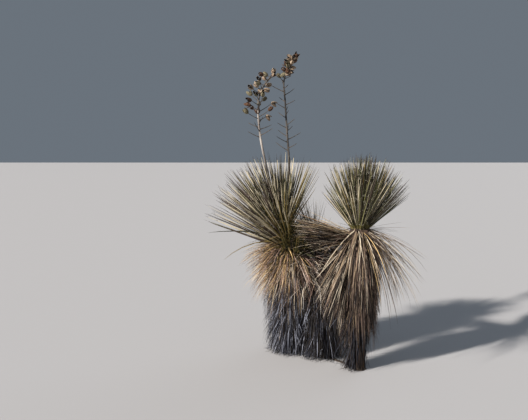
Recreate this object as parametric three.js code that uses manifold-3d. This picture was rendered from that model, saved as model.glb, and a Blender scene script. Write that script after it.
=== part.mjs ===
// Soaptree yucca: a clump of three stems from one root crown. Two live heads of stiff green
// leaves stand over skirts of dead ones, a withered third head leans back between them, and
// the left head carries two dry flower stalks with split seed pods.
// Millimetres, Z up, X to the right, Y away from the viewer. The origin is on the flat cut at
// ground level, under the middle stem.

import * as THREE from "three";
import { mergeVertices } from "three/addons/utils/BufferGeometryUtils.js";
import Module from "manifold-3d";

const wasm = await Module();
wasm.setup();

// Sizes shared by the whole plant
const CLEARANCE = 0.4; // between a stem and whatever is cut round it
const JOINT_GAP = 0.35; // between the end face of one limb and the next
const LEAST_GAP = 0.3; // a leaf nearer than this to another solid is left out
const SKIRTS_DIVIDED_AT = 870; // height at which the planes between neighbouring skirts are set out
const THATCHES_DIVIDED_AT = 380; // and those between thatches
const ROOT_DEPTH = 26; // how far a dead leaf's root lies under the skin of its core
const SIDE_MARGIN = 6; // degrees between a skirt's outermost leaf and the edge of its side
const GOLDEN_SHARE = (Math.sqrt(5) - 1) / 2;
const GOLDEN_ANGLE = 2 * Math.PI * (1 - GOLDEN_SHARE);
const RISE = new THREE.Vector3(0, 0, 1);
const DEGREE = Math.PI / 180;

const COLOURS = {
  bark: 0x6b5a4a,
  green: 0x6f7a4b,
  pale: 0xb3ab8c,
  gold: 0xc79a63,
  straw: 0xab9674,
  brown: 0x6e5846,
  grey: 0x7d7a7c,
  stalk: 0x9c8f7c,
  pod: 0x8a6a48,
};

const ROOT_CROWN = {
  flare: [
    [1.6, 0],
    [1.32, 16],
    [1.14, 40],
    [1.03, 75],
    [1.0, 100],
  ],
  ridgeHalfWidth: 20,
  ridgeHeight: 10,
};
const STEM_START = ROOT_CROWN.flare.at(-1)[1];

// Each stem: where it leaves the ground, where its leafy crown begins, and the bud at its tip
const STEMS = {
  left: {
    foot: [-285, 150],
    crown: [-269, 150, 1001],
    bud: [-425, 150, 1256],
    radius: [62, 54],
  },
  middle: {
    foot: [0, 0],
    crown: [-52, 236, 1052],
    bud: [-84, 268, 1118],
    radius: [52, 34],
  },
  right: {
    foot: [302, -345],
    crown: [290, -320, 1258],
    bud: [306, -324, 1380],
    radius: [44, 46],
  },
};

// Live leaves stand round a tapering core, and their tips lie on a dome round the bud. fan is
// the tilt of the dome's axis from upright and its bearing, dome is the dome's radius for the
// steepest leaf and for the flattest, and core is the core's radius at its foot. Each tier has
// the lean of its leaves from the dome's axis and the stretch of core that it grows on; climb
// raises the roots of leaves that point right by a share of the way to the top of the tier.
// Leaves that lean further than above round the shaded bearing are shorter, or missing where
// shortening is nothing. Angles are degrees.
const CROWNS = [
  {
    stem: "left",
    colour: "green",
    fan: { tilt: 23, bearing: 180 },
    dome: [670, 710],
    core: 54,
    width: 21,
    thickness: 9.4,
    sag: 0.02,
    seed: 11,
    climb: 0.6,
    shaded: { bearing: 270, above: 8, shortening: 0.84 },
    tiers: {
      low: { lean: [43, 64], share: [0, 0.45], leaves: 38 },
      middle: { lean: [24, 43], share: [0.45, 0.76], leaves: 42 },
      top: { lean: [2, 24], share: [0.76, 1], leaves: 28 },
    },
  },
  {
    stem: "middle",
    colour: "pale",
    fan: { tilt: 22, bearing: 150 },
    dome: [380, 340],
    core: 34,
    width: 11,
    thickness: 5,
    sag: 0.2,
    seed: 23,
    climb: 0,
    shaded: { bearing: 200, above: 40, shortening: 0 },
    tiers: { tuft: { lean: [3, 50], share: [0, 1], leaves: 14 } },
  },
  {
    stem: "right",
    colour: "green",
    fan: { tilt: 4, bearing: 0 },
    dome: [550, 490],
    core: 76,
    width: 19,
    thickness: 8,
    sag: 0.02,
    seed: 37,
    climb: 0,
    shaded: { bearing: 180, above: 46, shortening: 0.84 },
    tiers: {
      low: { lean: [42, 62], share: [0, 0.4], leaves: 36 },
      middle: { lean: [23, 42], share: [0.4, 0.72], leaves: 42 },
      top: { lean: [2, 23], share: [0.72, 1], leaves: 22 },
    },
  },
];
const CROWN_TIP = 0.5; // radius of a crown's core at the bud, as a share of its foot

// Dead leaves leave a packed core and droop. core is its radius from low to high, lift is the
// angle above level at which a leaf sets out, for the lowest and the highest, bend is how far it
// turns down on its way, and the larger hang is, the fewer leaves set out at the highest lift.
// All angles are degrees. Masses that share a ring are centred at one height.
const SKIRTS = [
  {
    name: "left_skirt",
    stem: "left",
    colour: "gold",
    sides: { front: [-140, -28], outer: [108, 220], back: [-28, 108] },
    height: [735, 985],
    core: [268, 270, 246, 196, 130, 64],
    perSide: 22,
    length: [240, 390],
    hang: 1.2,
    lift: [-64, 10],
    bend: [24, 56],
    width: 16,
    thickness: 6.4,
    seed: 41,
  },
  {
    name: "right_skirt",
    stem: "right",
    colour: "straw",
    sides: { front: [-138, -44], outer: [-44, 44], back: [44, 136] },
    height: [950, 1240],
    core: [118, 114, 106, 98, 90, 78],
    perSide: 22,
    length: [480, 760],
    hang: 2,
    lift: [-76, -8],
    bend: [16, 44],
    width: 16,
    thickness: 8,
    seed: 53,
  },
  {
    name: "right_skirt_inner",
    stem: "right",
    colour: "straw",
    sides: { side: [136, 222] },
    height: [950, 1078],
    centredAt: 1095,
    core: [118, 116, 114, 111, 108, 105],
    perSide: 16,
    length: [470, 640],
    hang: 1,
    lift: [-72, -44],
    bend: [8, 30],
    width: 16,
    thickness: 8,
    seed: 59,
  },
  {
    name: "right_dead_fan",
    stem: "right",
    colour: "brown",
    sides: { side: [136, 222] },
    height: [1080, 1240],
    centredAt: 1095,
    core: [104, 100, 96, 90, 84, 78],
    perSide: 18,
    length: [440, 620],
    hang: 1,
    lift: [-14, 28],
    bend: [2, 12],
    width: 15,
    thickness: 6.6,
    seed: 101,
  },
  {
    name: "middle_skirt",
    stem: "middle",
    colour: "brown",
    sides: { front: [-150, -30], outer: [-30, 90], back: [90, 210] },
    height: [730, 1020],
    core: [190, 190, 170, 136, 94, 52],
    perSide: 22,
    length: [260, 460],
    hang: 1,
    lift: [-58, 16],
    bend: [20, 58],
    width: 13,
    thickness: 5.6,
    seed: 67,
  },
];

// Older leaves further down hang close to the stem over a thick packed core
const THATCHES = [
  {
    name: "left_thatch",
    stem: "left",
    colour: "grey",
    sides: { front: [-120, 0], outer: [120, 240], back: [0, 120] },
    height: [34, 726],
    core: [206, 226, 238, 250, 262, 266],
    perSide: 12,
    length: [200, 320],
    hang: 1,
    lift: [-74, -36],
    bend: [8, 28],
    width: 15,
    thickness: 6,
    seed: 71,
  },
  {
    name: "middle_thatch",
    stem: "middle",
    colour: "grey",
    sides: { front: [-150, -30], outer: [-30, 90], back: [90, 210] },
    height: [34, 726],
    core: [196, 222, 230, 226, 212, 188],
    perSide: 12,
    length: [200, 320],
    hang: 1,
    lift: [-74, -36],
    bend: [8, 28],
    width: 15,
    thickness: 6,
    seed: 83,
  },
  {
    name: "right_thatch",
    stem: "right",
    colour: "straw",
    sides: { front: [-130, -10], outer: [-10, 110], back: [110, 230] },
    height: [330, 948],
    core: [124, 160, 164, 152, 136, 118],
    perSide: 12,
    length: [230, 400],
    hang: 1,
    lift: [-84, -64],
    bend: [0, 12],
    width: 15,
    thickness: 6.4,
    seed: 97,
  },
  {
    name: "right_thatch_low",
    stem: "right",
    colour: "grey",
    sides: { side: [96, 250] },
    height: [44, 328],
    core: [92, 104, 112, 118, 122, 122],
    perSide: 11,
    length: [180, 280],
    hang: 1,
    lift: [-70, -34],
    bend: [4, 24],
    width: 15,
    thickness: 6,
    seed: 89,
  },
];

// Dry flower stalks: centre line, and radius at foot and top
const STALKS = {
  left: {
    line: [
      [-408, 150, 1228],
      [-456, 147, 1480],
      [-540, 142, 1850],
      [-586, 140, 2090],
      [-603, 140, 2360],
      [-588, 140, 2490],
      [-530, 144, 2590],
      [-470, 150, 2668],
    ],
    radius: [15.5, 6.2],
  },
  right: {
    line: [
      [-282, 176, 1060],
      [-296, 172, 1477],
      [-314, 166, 1908],
      [-334, 160, 2182],
      [-349, 158, 2407],
      [-355, 156, 2630],
      [-320, 154, 2716],
      [-262, 152, 2822],
    ],
    radius: [15, 5.8],
  },
};

// Stretches of a stalk by height, each one stem with its twigs fused on
const PANICLES = [
  {
    name: "left_bare_twigs",
    stalk: "left",
    from: 2062,
    to: 2222,
    twigs: 8,
    pods: false,
    reach: [110, 175],
    seed: 3,
  },
  {
    name: "left_pods_low",
    stalk: "left",
    from: 2222,
    to: 2440,
    twigs: 13,
    pods: true,
    reach: [45, 190],
    seed: 7,
  },
  {
    name: "left_pods_high",
    stalk: "left",
    from: 2440,
    to: 2668,
    twigs: 14,
    pods: true,
    reach: [35, 140],
    seed: 5,
  },
  {
    name: "right_bare_twigs_low",
    stalk: "right",
    from: 1930,
    to: 2240,
    twigs: 11,
    pods: false,
    reach: [90, 165],
    seed: 9,
  },
  {
    name: "right_bare_twigs_high",
    stalk: "right",
    from: 2240,
    to: 2650,
    twigs: 13,
    pods: false,
    reach: [60, 165],
    seed: 15,
  },
  {
    name: "right_pods",
    stalk: "right",
    from: 2650,
    to: 2822,
    twigs: 12,
    pods: true,
    reach: [12, 30],
    seed: 25,
  },
];
const TWIG = { radius: [4.2, 2.4], climb: 27, climbSpread: 16 };
const POD = { length: 60, radius: 22, sides: 5, rings: 3, sunk: 6 };

// A number from 0 to 1 that depends only on the seed and the index
function chance(seed, index) {
  const wave = Math.sin(seed * 12.9898 + index * 78.233) * 43758.5453;
  return wave - Math.floor(wave);
}

const between = ([low, high], share) => low + (high - low) * share;

// A geometry as a solid that can be joined and cut: its doubled vertices are merged
function solidOf(geometry, matrix) {
  const source = geometry.index ? geometry.toNonIndexed() : geometry.clone();
  const bare = new THREE.BufferGeometry();
  bare.setAttribute("position", source.getAttribute("position"));
  if (matrix) bare.applyMatrix4(matrix);
  const merged = mergeVertices(bare, 1e-3);
  return new wasm.Manifold(
    new wasm.Mesh({
      numProp: 3,
      vertProperties: merged.attributes.position.array,
      triVerts: new Uint32Array(merged.index.array),
    }),
  );
}

function geometryOf(solid) {
  const mesh = solid.getMesh();
  const geometry = new THREE.BufferGeometry();
  const positions = new Float32Array(mesh.numVert * 3);
  for (let i = 0; i < mesh.numVert; i++) {
    positions.set(mesh.vertProperties.subarray(i * mesh.numProp, i * mesh.numProp + 3), i * 3);
  }
  geometry.setAttribute("position", new THREE.BufferAttribute(positions, 3));
  geometry.setIndex(new THREE.BufferAttribute(mesh.triVerts, 1));
  const flat = geometry.toNonIndexed();
  flat.computeVertexNormals();
  return flat;
}

// The largest body of a solid, without loose scraps and with sealed hollows filled
function wholeBody(solid) {
  const bodies = solid.decompose();
  return bodies.reduce((best, body) => (body.volume() > best.volume() ? body : best));
}

// Moves each vertex of a unit cylinder or cone, which stands on Y, to its place on a curve.
// side is the direction of the section's width; halfSize(t) gives half its width and depth.
// A level section stays flat, so that an upright limb ends in flat faces.
function carryAlong(unit, curve, side, halfSize, level = false) {
  const positions = unit.getAttribute("position");
  const point = new THREE.Vector3();
  for (let i = 0; i < positions.count; i++) {
    const t = THREE.MathUtils.clamp(positions.getY(i) + 0.5, 0, 1);
    const along = level ? RISE : curve.getTangentAt(t);
    const across = side.clone().addScaledVector(along, -side.dot(along)).normalize();
    const depth = new THREE.Vector3().crossVectors(along, across);
    const [halfWidth, halfDepth] = halfSize(t);
    curve.getPointAt(t, point);
    point.addScaledVector(across, positions.getX(i) * halfWidth);
    point.addScaledVector(depth, -positions.getZ(i) * halfDepth);
    positions.setXYZ(i, point.x, point.y, point.z);
  }
  return unit;
}

// A round limb that tapers along points
function limb(points, [footRadius, tipRadius], { sides = 10, steps = 6, grow = 0, level = false } = {}) {
  const curve = new THREE.CatmullRomCurve3(points);
  const unit = new THREE.CylinderGeometry(1, 1, 1, sides, steps);
  const halfSize = (t) => {
    const radius = footRadius + (tipRadius - footRadius) * t + grow;
    return [radius, radius];
  };
  return carryAlong(unit, curve, new THREE.Vector3(1, 0, 0), halfSize, level);
}

// A three-sided blade: narrow at its root, widest at a third of its length, pointed at its tip
function blade(points, side, width, thickness, steps) {
  const curve = points.length > 2 ? new THREE.CatmullRomCurve3(points) : new THREE.LineCurve3(...points);
  const unit = new THREE.ConeGeometry(1, 1, 3, steps);
  const undoCone = (t) => (t < 1 ? 1 / (1 - t) : 0);
  return carryAlong(unit, curve, side, (t) => {
    const outline = Math.min(1, 0.62 + 1.2 * t) * (1 - t) ** 0.55;
    return [0.58 * width * outline * undoCone(t), 0.62 * thickness * outline * undoCone(t)];
  });
}

const vectorOf = (values) => new THREE.Vector3(...values);

// The stem's centre line, from the root crown to where its leafy crown begins
function stemLine({ foot, crown }) {
  const bottom = new THREE.Vector3(foot[0], foot[1], STEM_START + JOINT_GAP);
  const top = vectorOf(crown);
  const knee = new THREE.Vector3().lerpVectors(bottom, top, 0.45);
  knee.x = foot[0] + (crown[0] - foot[0]) * 0.3;
  knee.y = foot[1] + (crown[1] - foot[1]) * 0.3;
  return [bottom, knee, top];
}

function stemCurve(stem) {
  return new THREE.CatmullRomCurve3(stemLine(stem));
}

// The share of a rising curve's length at which it reaches a height
function shareAtHeight(curve, height) {
  let low = 0;
  let high = 1;
  for (let i = 0; i < 30; i++) {
    const middle = (low + high) / 2;
    if (curve.getPointAt(middle).z < height) low = middle;
    else high = middle;
  }
  return low;
}

// Where the stem's centre line is at a height
function stemAt(stem, height) {
  const curve = stemCurve(stem);
  return curve.getPointAt(shareAtHeight(curve, height));
}

// The direction that is tilted from upright towards a bearing
function fanAxis({ tilt, bearing }) {
  const level = Math.sin(tilt * DEGREE);
  return new THREE.Vector3(
    level * Math.cos(bearing * DEGREE),
    level * Math.sin(bearing * DEGREE),
    Math.cos(tilt * DEGREE),
  );
}

// Two directions square to the axis, the first as level as it can be
function acrossAxis(axis) {
  const level = new THREE.Vector3().crossVectors(RISE, axis);
  if (level.lengthSq() < 1e-6) level.set(1, 0, 0);
  level.normalize();
  return [level, new THREE.Vector3().crossVectors(axis, level)];
}

// The core of a crown tapers from its foot to the bud
function crownRadius(crown, share) {
  return crown.core * (1 - (1 - CROWN_TIP) * share);
}

// Leaf number index of a tier: turned on by the golden angle, and the steeper the higher.
// Its root lies under the skin of the core, and it runs most of the way to the dome.
function crownLeaf(crown, tier, index) {
  const stem = STEMS[crown.stem];
  const axis = fanAxis(crown.fan);
  const [level, upright] = acrossAxis(axis);
  const seed = crown.seed + tier.lean[0];
  const rank = (index + 0.5) / tier.leaves;
  const cosines = tier.lean.map((degrees) => Math.cos(degrees * DEGREE));
  const lean = Math.acos(between(cosines, rank));
  const turn = index * GOLDEN_ANGLE + 0.3 * (chance(seed, index) - 0.5);
  const outward = level.clone().multiplyScalar(Math.cos(turn)).addScaledVector(upright, Math.sin(turn));
  const onTier = 0.86 - 0.72 * rank;
  const climb = crown.climb * THREE.MathUtils.clamp(1.6 * outward.x, 0, 1);
  const share = between(tier.share, onTier + (0.9 - onTier) * climb);
  const root = vectorOf(stem.crown).lerp(vectorOf(stem.bud), share);
  root.addScaledVector(outward, (0.62 + 0.2 * share) * crownRadius(crown, share));
  const radius = between(crown.dome, lean / DEGREE / flattestLean(crown));
  const onDome = axis.clone().multiplyScalar(Math.cos(lean)).addScaledVector(outward, Math.sin(lean));
  const way = vectorOf(stem.bud).addScaledVector(onDome, radius).sub(root);
  const span = (0.86 + 0.16 * chance(seed + 1, index)) * shading(crown, lean / DEGREE, outward);
  const tip = root.clone().addScaledVector(way, span);
  const middle = root.clone().lerp(tip, 0.5);
  tip.z -= crown.sag * span * way.length() * Math.sin(lean);
  const side = new THREE.Vector3().crossVectors(way, outward).normalize();
  return { span, points: [root, middle, tip], side };
}

function flattestLean({ tiers }) {
  return Math.max(...Object.values(tiers).map(({ lean }) => lean[1]));
}

// The share of its length that a leaf keeps, from its lean in degrees and where it points
function shading({ shaded }, lean, outward) {
  if (!shaded) return 1;
  const halfSide = 65; // degrees to either side of the neighbour's bearing
  const bearing = Math.atan2(outward.y, outward.x) / DEGREE;
  const off = Math.abs(((bearing - shaded.bearing + 540) % 360) - 180);
  return lean > shaded.above && off < halfSide ? shaded.shortening : 1;
}

// A dead leaf: it leaves its root at an angle above level and turns down by bend on its way
function droopingLeaf(root, bearing, lift, bend, length) {
  const outward = new THREE.Vector3(Math.cos(bearing * DEGREE), Math.sin(bearing * DEGREE), 0);
  const points = [root.clone()];
  const pieces = 3;
  for (let i = 0; i < pieces; i++) {
    const slope = (lift - bend * ((i + 0.5) / pieces) ** 0.8) * DEGREE;
    const step = outward.clone().multiplyScalar(Math.cos(slope)).addScaledVector(RISE, Math.sin(slope));
    points.push(points[i].clone().addScaledVector(step, length / pieces));
  }
  const side = new THREE.Vector3(-outward.y, outward.x, 0);
  return { points, side };
}

// A wedge of space round an upright line, between two bearings, a little inside them
function wedge(centre, [from, to], reach, low, high) {
  const half = ((to - from) / 2) * DEGREE;
  const facing = ((to + from) / 2) * DEGREE;
  const inset = CLEARANCE / Math.sin(half);
  const outline = new THREE.Shape();
  outline.moveTo(0, 0);
  const steps = Math.ceil((to - from) / 30);
  for (let i = 0; i <= steps; i++) {
    const bearing = between([from, to], i / steps) * DEGREE;
    outline.lineTo(reach * Math.cos(bearing), reach * Math.sin(bearing));
  }
  outline.closePath();
  const geometry = new THREE.ExtrudeGeometry(outline, { depth: high - low, bevelEnabled: false });
  const x = centre.x + inset * Math.cos(facing);
  const y = centre.y + inset * Math.sin(facing);
  return solidOf(geometry, new THREE.Matrix4().makeTranslation(x, y, low));
}

// The half of space on one stem's side of the plane midway to another stem at that height
function ownHalf(stem, other, height) {
  const here = stemAt(stem, height).setZ(0);
  const there = stemAt(other, height).setZ(0);
  const towards = there.clone().sub(here).normalize();
  const size = 4000;
  const gap = 1.5; // left on each side of the plane
  const box = new THREE.BoxGeometry(size, size, size);
  const turn = new THREE.Matrix4().makeRotationZ(Math.atan2(towards.y, towards.x));
  const centre = here.lerp(there, 0.5).addScaledVector(towards, -size / 2 - gap);
  return solidOf(box, new THREE.Matrix4().setPosition(centre).multiply(turn));
}

// Lathe profile of a packed core: radii spaced evenly between two heights
function coreProfile(radii, [low, high]) {
  const last = radii.length - 1;
  const rows = radii.map((radius, i) => new THREE.Vector2(radius, between([low, high], i / last)));
  return [new THREE.Vector2(0, low), ...rows, new THREE.Vector2(0, high)];
}

const standing = new THREE.Matrix4().makeRotationX(Math.PI / 2);

// One side of a packed core round a stem, clear of the stem and of the next stems' cores
function packedCore({ stem: stemName, core: radii, height, centredAt }, bearings, dividedAt) {
  const stem = STEMS[stemName];
  const axisPoint = stemAt(stem, centredAt ?? (height[0] + height[1]) / 2);
  const profile = coreProfile(radii, height);
  const move = new THREE.Matrix4().makeTranslation(axisPoint.x, axisPoint.y, 0).multiply(standing);
  let core = solidOf(new THREE.LatheGeometry(profile, 16), move);
  core = core.intersect(wedge(axisPoint, bearings, 900, height[0] - 50, height[1] + 50));
  for (const [name, other] of Object.entries(STEMS)) {
    if (name !== stemName) core = core.intersect(ownHalf(stem, other, dividedAt));
  }
  for (const cut of keepClear) core = core.subtract(cut);
  return wholeBody(core);
}

const group = new THREE.Group();
const placed = []; // finished solids, for the test that a leaf is clear of them
const keepClear = []; // stems, stalks and root crown, each a little larger than life

function place(name, solid, colour) {
  const material = new THREE.MeshStandardMaterial({
    color: COLOURS[colour],
    roughness: colour === "green" ? 0.55 : 0.85,
    metalness: 0,
  });
  const mesh = new THREE.Mesh(geometryOf(solid), material);
  mesh.name = name;
  group.add(mesh);
  placed.push(solid);
}

function boxesApart(one, other) {
  const [a, b] = [one.boundingBox(), other.boundingBox()];
  return [0, 1, 2].some((axis) => a.min[axis] - b.max[axis] > 1 || b.min[axis] - a.max[axis] > 1);
}

function clearOf(solid, others) {
  return others.every((other) => boxesApart(solid, other) || solid.minGap(other, 1) >= LEAST_GAP);
}

// Fuses leaves on a core. A leaf that touches another solid, or goes below ground, is left out
function fuse(core, leaves, others) {
  let mass = core;
  for (const geometry of leaves) {
    const leaf = solidOf(geometry);
    const low = leaf.boundingBox().min[2];
    if (low < 2 || leaf.volume() <= 0 || !clearOf(leaf, others)) continue;
    mass = mass.add(leaf);
  }
  return wholeBody(mass);
}

// A flared foot under a stem; grow widens it for cutting clear
function rootFoot({ foot, radius }, grow) {
  const widen = (swell) => swell * radius[0] + grow;
  const rows = ROOT_CROWN.flare.map(([swell, height]) => new THREE.Vector2(widen(swell), height));
  const profile = [new THREE.Vector2(0, 0), ...rows, new THREE.Vector2(0, STEM_START)];
  const move = new THREE.Matrix4().makeTranslation(foot[0], foot[1], 0).multiply(standing);
  return solidOf(new THREE.LatheGeometry(profile, 12), move);
}

// A low half-round ridge along the ground, from the origin to a foot
function rootRidge({ foot }) {
  const { ridgeHalfWidth, ridgeHeight } = ROOT_CROWN;
  const outline = new THREE.Shape();
  const steps = 6;
  outline.moveTo(-ridgeHalfWidth, 0);
  for (let i = steps; i >= 0; i--) {
    const angle = ((steps - i) * Math.PI) / steps;
    outline.lineTo(-ridgeHalfWidth * Math.cos(angle), ridgeHeight * Math.sin(angle));
  }
  const depth = Math.hypot(foot[0], foot[1]);
  const geometry = new THREE.ExtrudeGeometry(outline, { depth, bevelEnabled: false });
  const turn = new THREE.Matrix4().makeRotationZ(Math.atan2(foot[1], foot[0]) + Math.PI / 2);
  return solidOf(geometry, turn.multiply(standing));
}

// The root crown: the feet, joined by low ridges and cut flat at the ground
function buildRootCrown() {
  const feet = Object.values(STEMS).map((stem) => rootFoot(stem, 0));
  const ridges = [STEMS.left, STEMS.right].map(rootRidge);
  place("root_crown", [...feet, ...ridges].reduce((all, piece) => all.add(piece)), "bark");
  keepClear.push(...Object.values(STEMS).map((stem) => rootFoot(stem, CLEARANCE)));
}

function buildStems() {
  for (const [name, stem] of Object.entries(STEMS)) {
    const points = stemLine(stem);
    place(`${name}_stem`, solidOf(limb(points, stem.radius, { level: true })), "bark");
    const taller = [...points.slice(0, -1), points.at(-1).clone().setZ(points.at(-1).z + CLEARANCE)];
    keepClear.push(solidOf(limb(taller, stem.radius, { grow: CLEARANCE, level: true })));
  }
}

// The points of a stalk's line between two heights, with both ends on the line
function stalkPiece({ line }, low, high) {
  const curve = new THREE.CatmullRomCurve3(line.map(vectorOf));
  curve.arcLengthDivisions = 1000;
  const ends = [shareAtHeight(curve, low), shareAtHeight(curve, high)];
  const steps = 6;
  return Array.from({ length: steps + 1 }, (_, i) => curve.getPointAt(between(ends, i / steps)));
}

function stalkRadius(stalk, height) {
  const [low, high] = [stalk.line[0][2], stalk.line.at(-1)[2]];
  return between(stalk.radius, Math.max(0, (height - low) / (high - low)) ** 0.9);
}

// A stretch of stalk as a solid; grow widens it for cutting clear
function stalkSolid(stalk, low, high, grow = 0) {
  const points = stalkPiece(stalk, low, high);
  const ends = [stalkRadius(stalk, low), stalkRadius(stalk, high)];
  return solidOf(limb(points, ends, { sides: 8, steps: 6, grow, level: true }));
}

function buildStalks() {
  for (const [name, stalk] of Object.entries(STALKS)) {
    const first = Math.min(...PANICLES.filter((p) => p.stalk === name).map((p) => p.from));
    const foot = stalk.line[0][2];
    place(`${name}_stalk`, stalkSolid(stalk, foot, first - JOINT_GAP), "stalk");
    keepClear.push(stalkSolid(stalk, foot - 1, first, CLEARANCE));
  }
}

// A seed pod: an egg shape that stands on the end of its twig
function podGeometry(base, direction) {
  const unit = new THREE.SphereGeometry(1, POD.sides, POD.rings);
  const turn = new THREE.Quaternion().setFromUnitVectors(new THREE.Vector3(0, 1, 0), direction);
  const centre = base.clone().addScaledVector(direction, 0.42 * POD.length);
  const size = new THREE.Vector3(POD.radius, 0.5 * POD.length, POD.radius);
  return unit.applyMatrix4(new THREE.Matrix4().compose(centre, turn, size));
}

// Twigs spiral up a stretch of stalk; each ends bare or in a pod that turns upward
function buildPanicle(panicle, others) {
  const { seed, twigs, pods } = panicle;
  const stalk = STALKS[panicle.stalk];
  const curve = new THREE.CatmullRomCurve3(stalkPiece(stalk, panicle.from, panicle.to));
  let mass = stalkSolid(stalk, panicle.from, panicle.to - JOINT_GAP);
  for (let i = 0; i < twigs; i++) {
    const foot = curve.getPointAt((i + 0.6) / (twigs + 0.4));
    const turn = i * GOLDEN_ANGLE + seed + 0.5 * chance(seed, i);
    const climb = (TWIG.climb + TWIG.climbSpread * (chance(seed + 1, i) - 0.5)) * DEGREE;
    const reach = between(panicle.reach, chance(seed + 2, i));
    const out = new THREE.Vector3(Math.cos(turn), Math.sin(turn), Math.tan(climb)).normalize();
    const tip = foot.clone().addScaledVector(out, reach);
    const pieces = [solidOf(limb([foot, tip], TWIG.radius, { sides: 3, steps: 1 }))];
    if (pods) {
      const nod = new THREE.Vector3(out.x, out.y, 0.9 - 1.5 * chance(seed + 3, i) ** 2).normalize();
      pieces.push(solidOf(podGeometry(tip.addScaledVector(nod, -POD.sunk), nod)));
    }
    if (!pieces.every((piece) => clearOf(piece, others))) continue;
    for (const piece of pieces) mass = mass.add(piece);
  }
  place(panicle.name, wholeBody(mass), pods ? "pod" : "stalk");
}

// One tier's length of a crown's core
function tierCore(crown, { share: [low, high] }) {
  const stem = STEMS[crown.stem];
  const bottom = vectorOf(stem.crown);
  const top = vectorOf(stem.bud);
  const gap = JOINT_GAP / bottom.distanceTo(top);
  const points = [bottom.clone().lerp(top, low + gap), bottom.clone().lerp(top, high)];
  const ends = [crownRadius(crown, low), crownRadius(crown, high)];
  let core = solidOf(limb(points, ends, { sides: 10, steps: 1 }));
  for (const cut of keepClear) core = core.subtract(cut);
  return wholeBody(core);
}

function tierLeaves(crown, tier) {
  const leaves = Array.from({ length: tier.leaves }, (_, i) => crownLeaf(crown, tier, i));
  return leaves
    .filter(({ span }) => span > 0)
    .map(({ points, side }) => blade(points, side, crown.width, crown.thickness, 2));
}

function skirtLeaves(skirt, bearings, order) {
  const stem = STEMS[skirt.stem];
  const leaves = [];
  for (let i = 0; i < skirt.perSide; i++) {
    const pick = (k) => chance(skirt.seed + 10 * order + k, i);
    const rank = (i + 0.5) / skirt.perSide;
    const turn = (i * GOLDEN_SHARE + 0.1 * pick(1)) % 1;
    const bearing = between([bearings[0] + SIDE_MARGIN, bearings[1] - SIDE_MARGIN], turn);
    const height = between(skirt.height, 0.08 + 0.84 * rank);
    const lift = between(skirt.lift, (0.72 * rank + 0.28 * pick(2)) ** skirt.hang);
    const length = between(skirt.length, pick(3));
    const bend = between(skirt.bend, pick(4));
    const centre = stemAt(stem, height);
    const out = new THREE.Vector3(Math.cos(bearing * DEGREE), Math.sin(bearing * DEGREE), 0);
    const packed = profileRadius(skirt.core, skirt.height, height);
    const depth = Math.max(packed - ROOT_DEPTH, 0.7 * stem.radius[0] + 8);
    const root = centre.clone().addScaledVector(out, depth);
    const leaf = droopingLeaf(root, bearing + 16 * (pick(5) - 0.5), lift, bend, length);
    leaves.push(blade(leaf.points, leaf.side, skirt.width, skirt.thickness, 2));
  }
  return leaves;
}

function profileRadius(radii, [low, high], height) {
  const at = THREE.MathUtils.clamp((height - low) / (high - low), 0, 1) * (radii.length - 1);
  const row = Math.min(Math.floor(at), radii.length - 2);
  return between([radii[row], radii[row + 1]], at - row);
}

// Every mass: its core, and the leaves that stand out of it
function planMasses() {
  const masses = [];
  for (const crown of CROWNS) {
    for (const [name, tier] of Object.entries(crown.tiers)) {
      masses.push({
        name: `${crown.stem}_crown_${name}`,
        core: tierCore(crown, tier),
        colour: crown.colour,
        leaves: () => tierLeaves(crown, tier),
      });
    }
  }
  for (const skirt of [...SKIRTS, ...THATCHES]) {
    Object.entries(skirt.sides).forEach(([side, bearings], order) => {
      masses.push({
        name: side === "side" ? skirt.name : `${skirt.name}_${side}`,
        core: packedCore(skirt, bearings, SKIRTS.includes(skirt) ? SKIRTS_DIVIDED_AT : THATCHES_DIVIDED_AT),
        colour: skirt.colour,
        leaves: () => skirtLeaves(skirt, bearings, order),
      });
    });
  }
  return masses;
}

function buildMasses() {
  const masses = planMasses();
  const cores = masses.map(({ core }) => core);
  masses.forEach((mass, own) => {
    const others = [...placed, ...cores.filter((_, i) => i > own)];
    place(mass.name, fuse(mass.core, mass.leaves(), others), mass.colour);
  });
}

buildRootCrown();
buildStems();
buildStalks();
buildMasses();
for (const panicle of PANICLES) buildPanicle(panicle, placed.slice());

export default group;
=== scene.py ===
# Soaptree yucca: bark, live and dead leaves, dry flower stalks and split seed pods, grown by
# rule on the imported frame. Metres, Z up; the origin is on the ground under the middle stem.

import math

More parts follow.
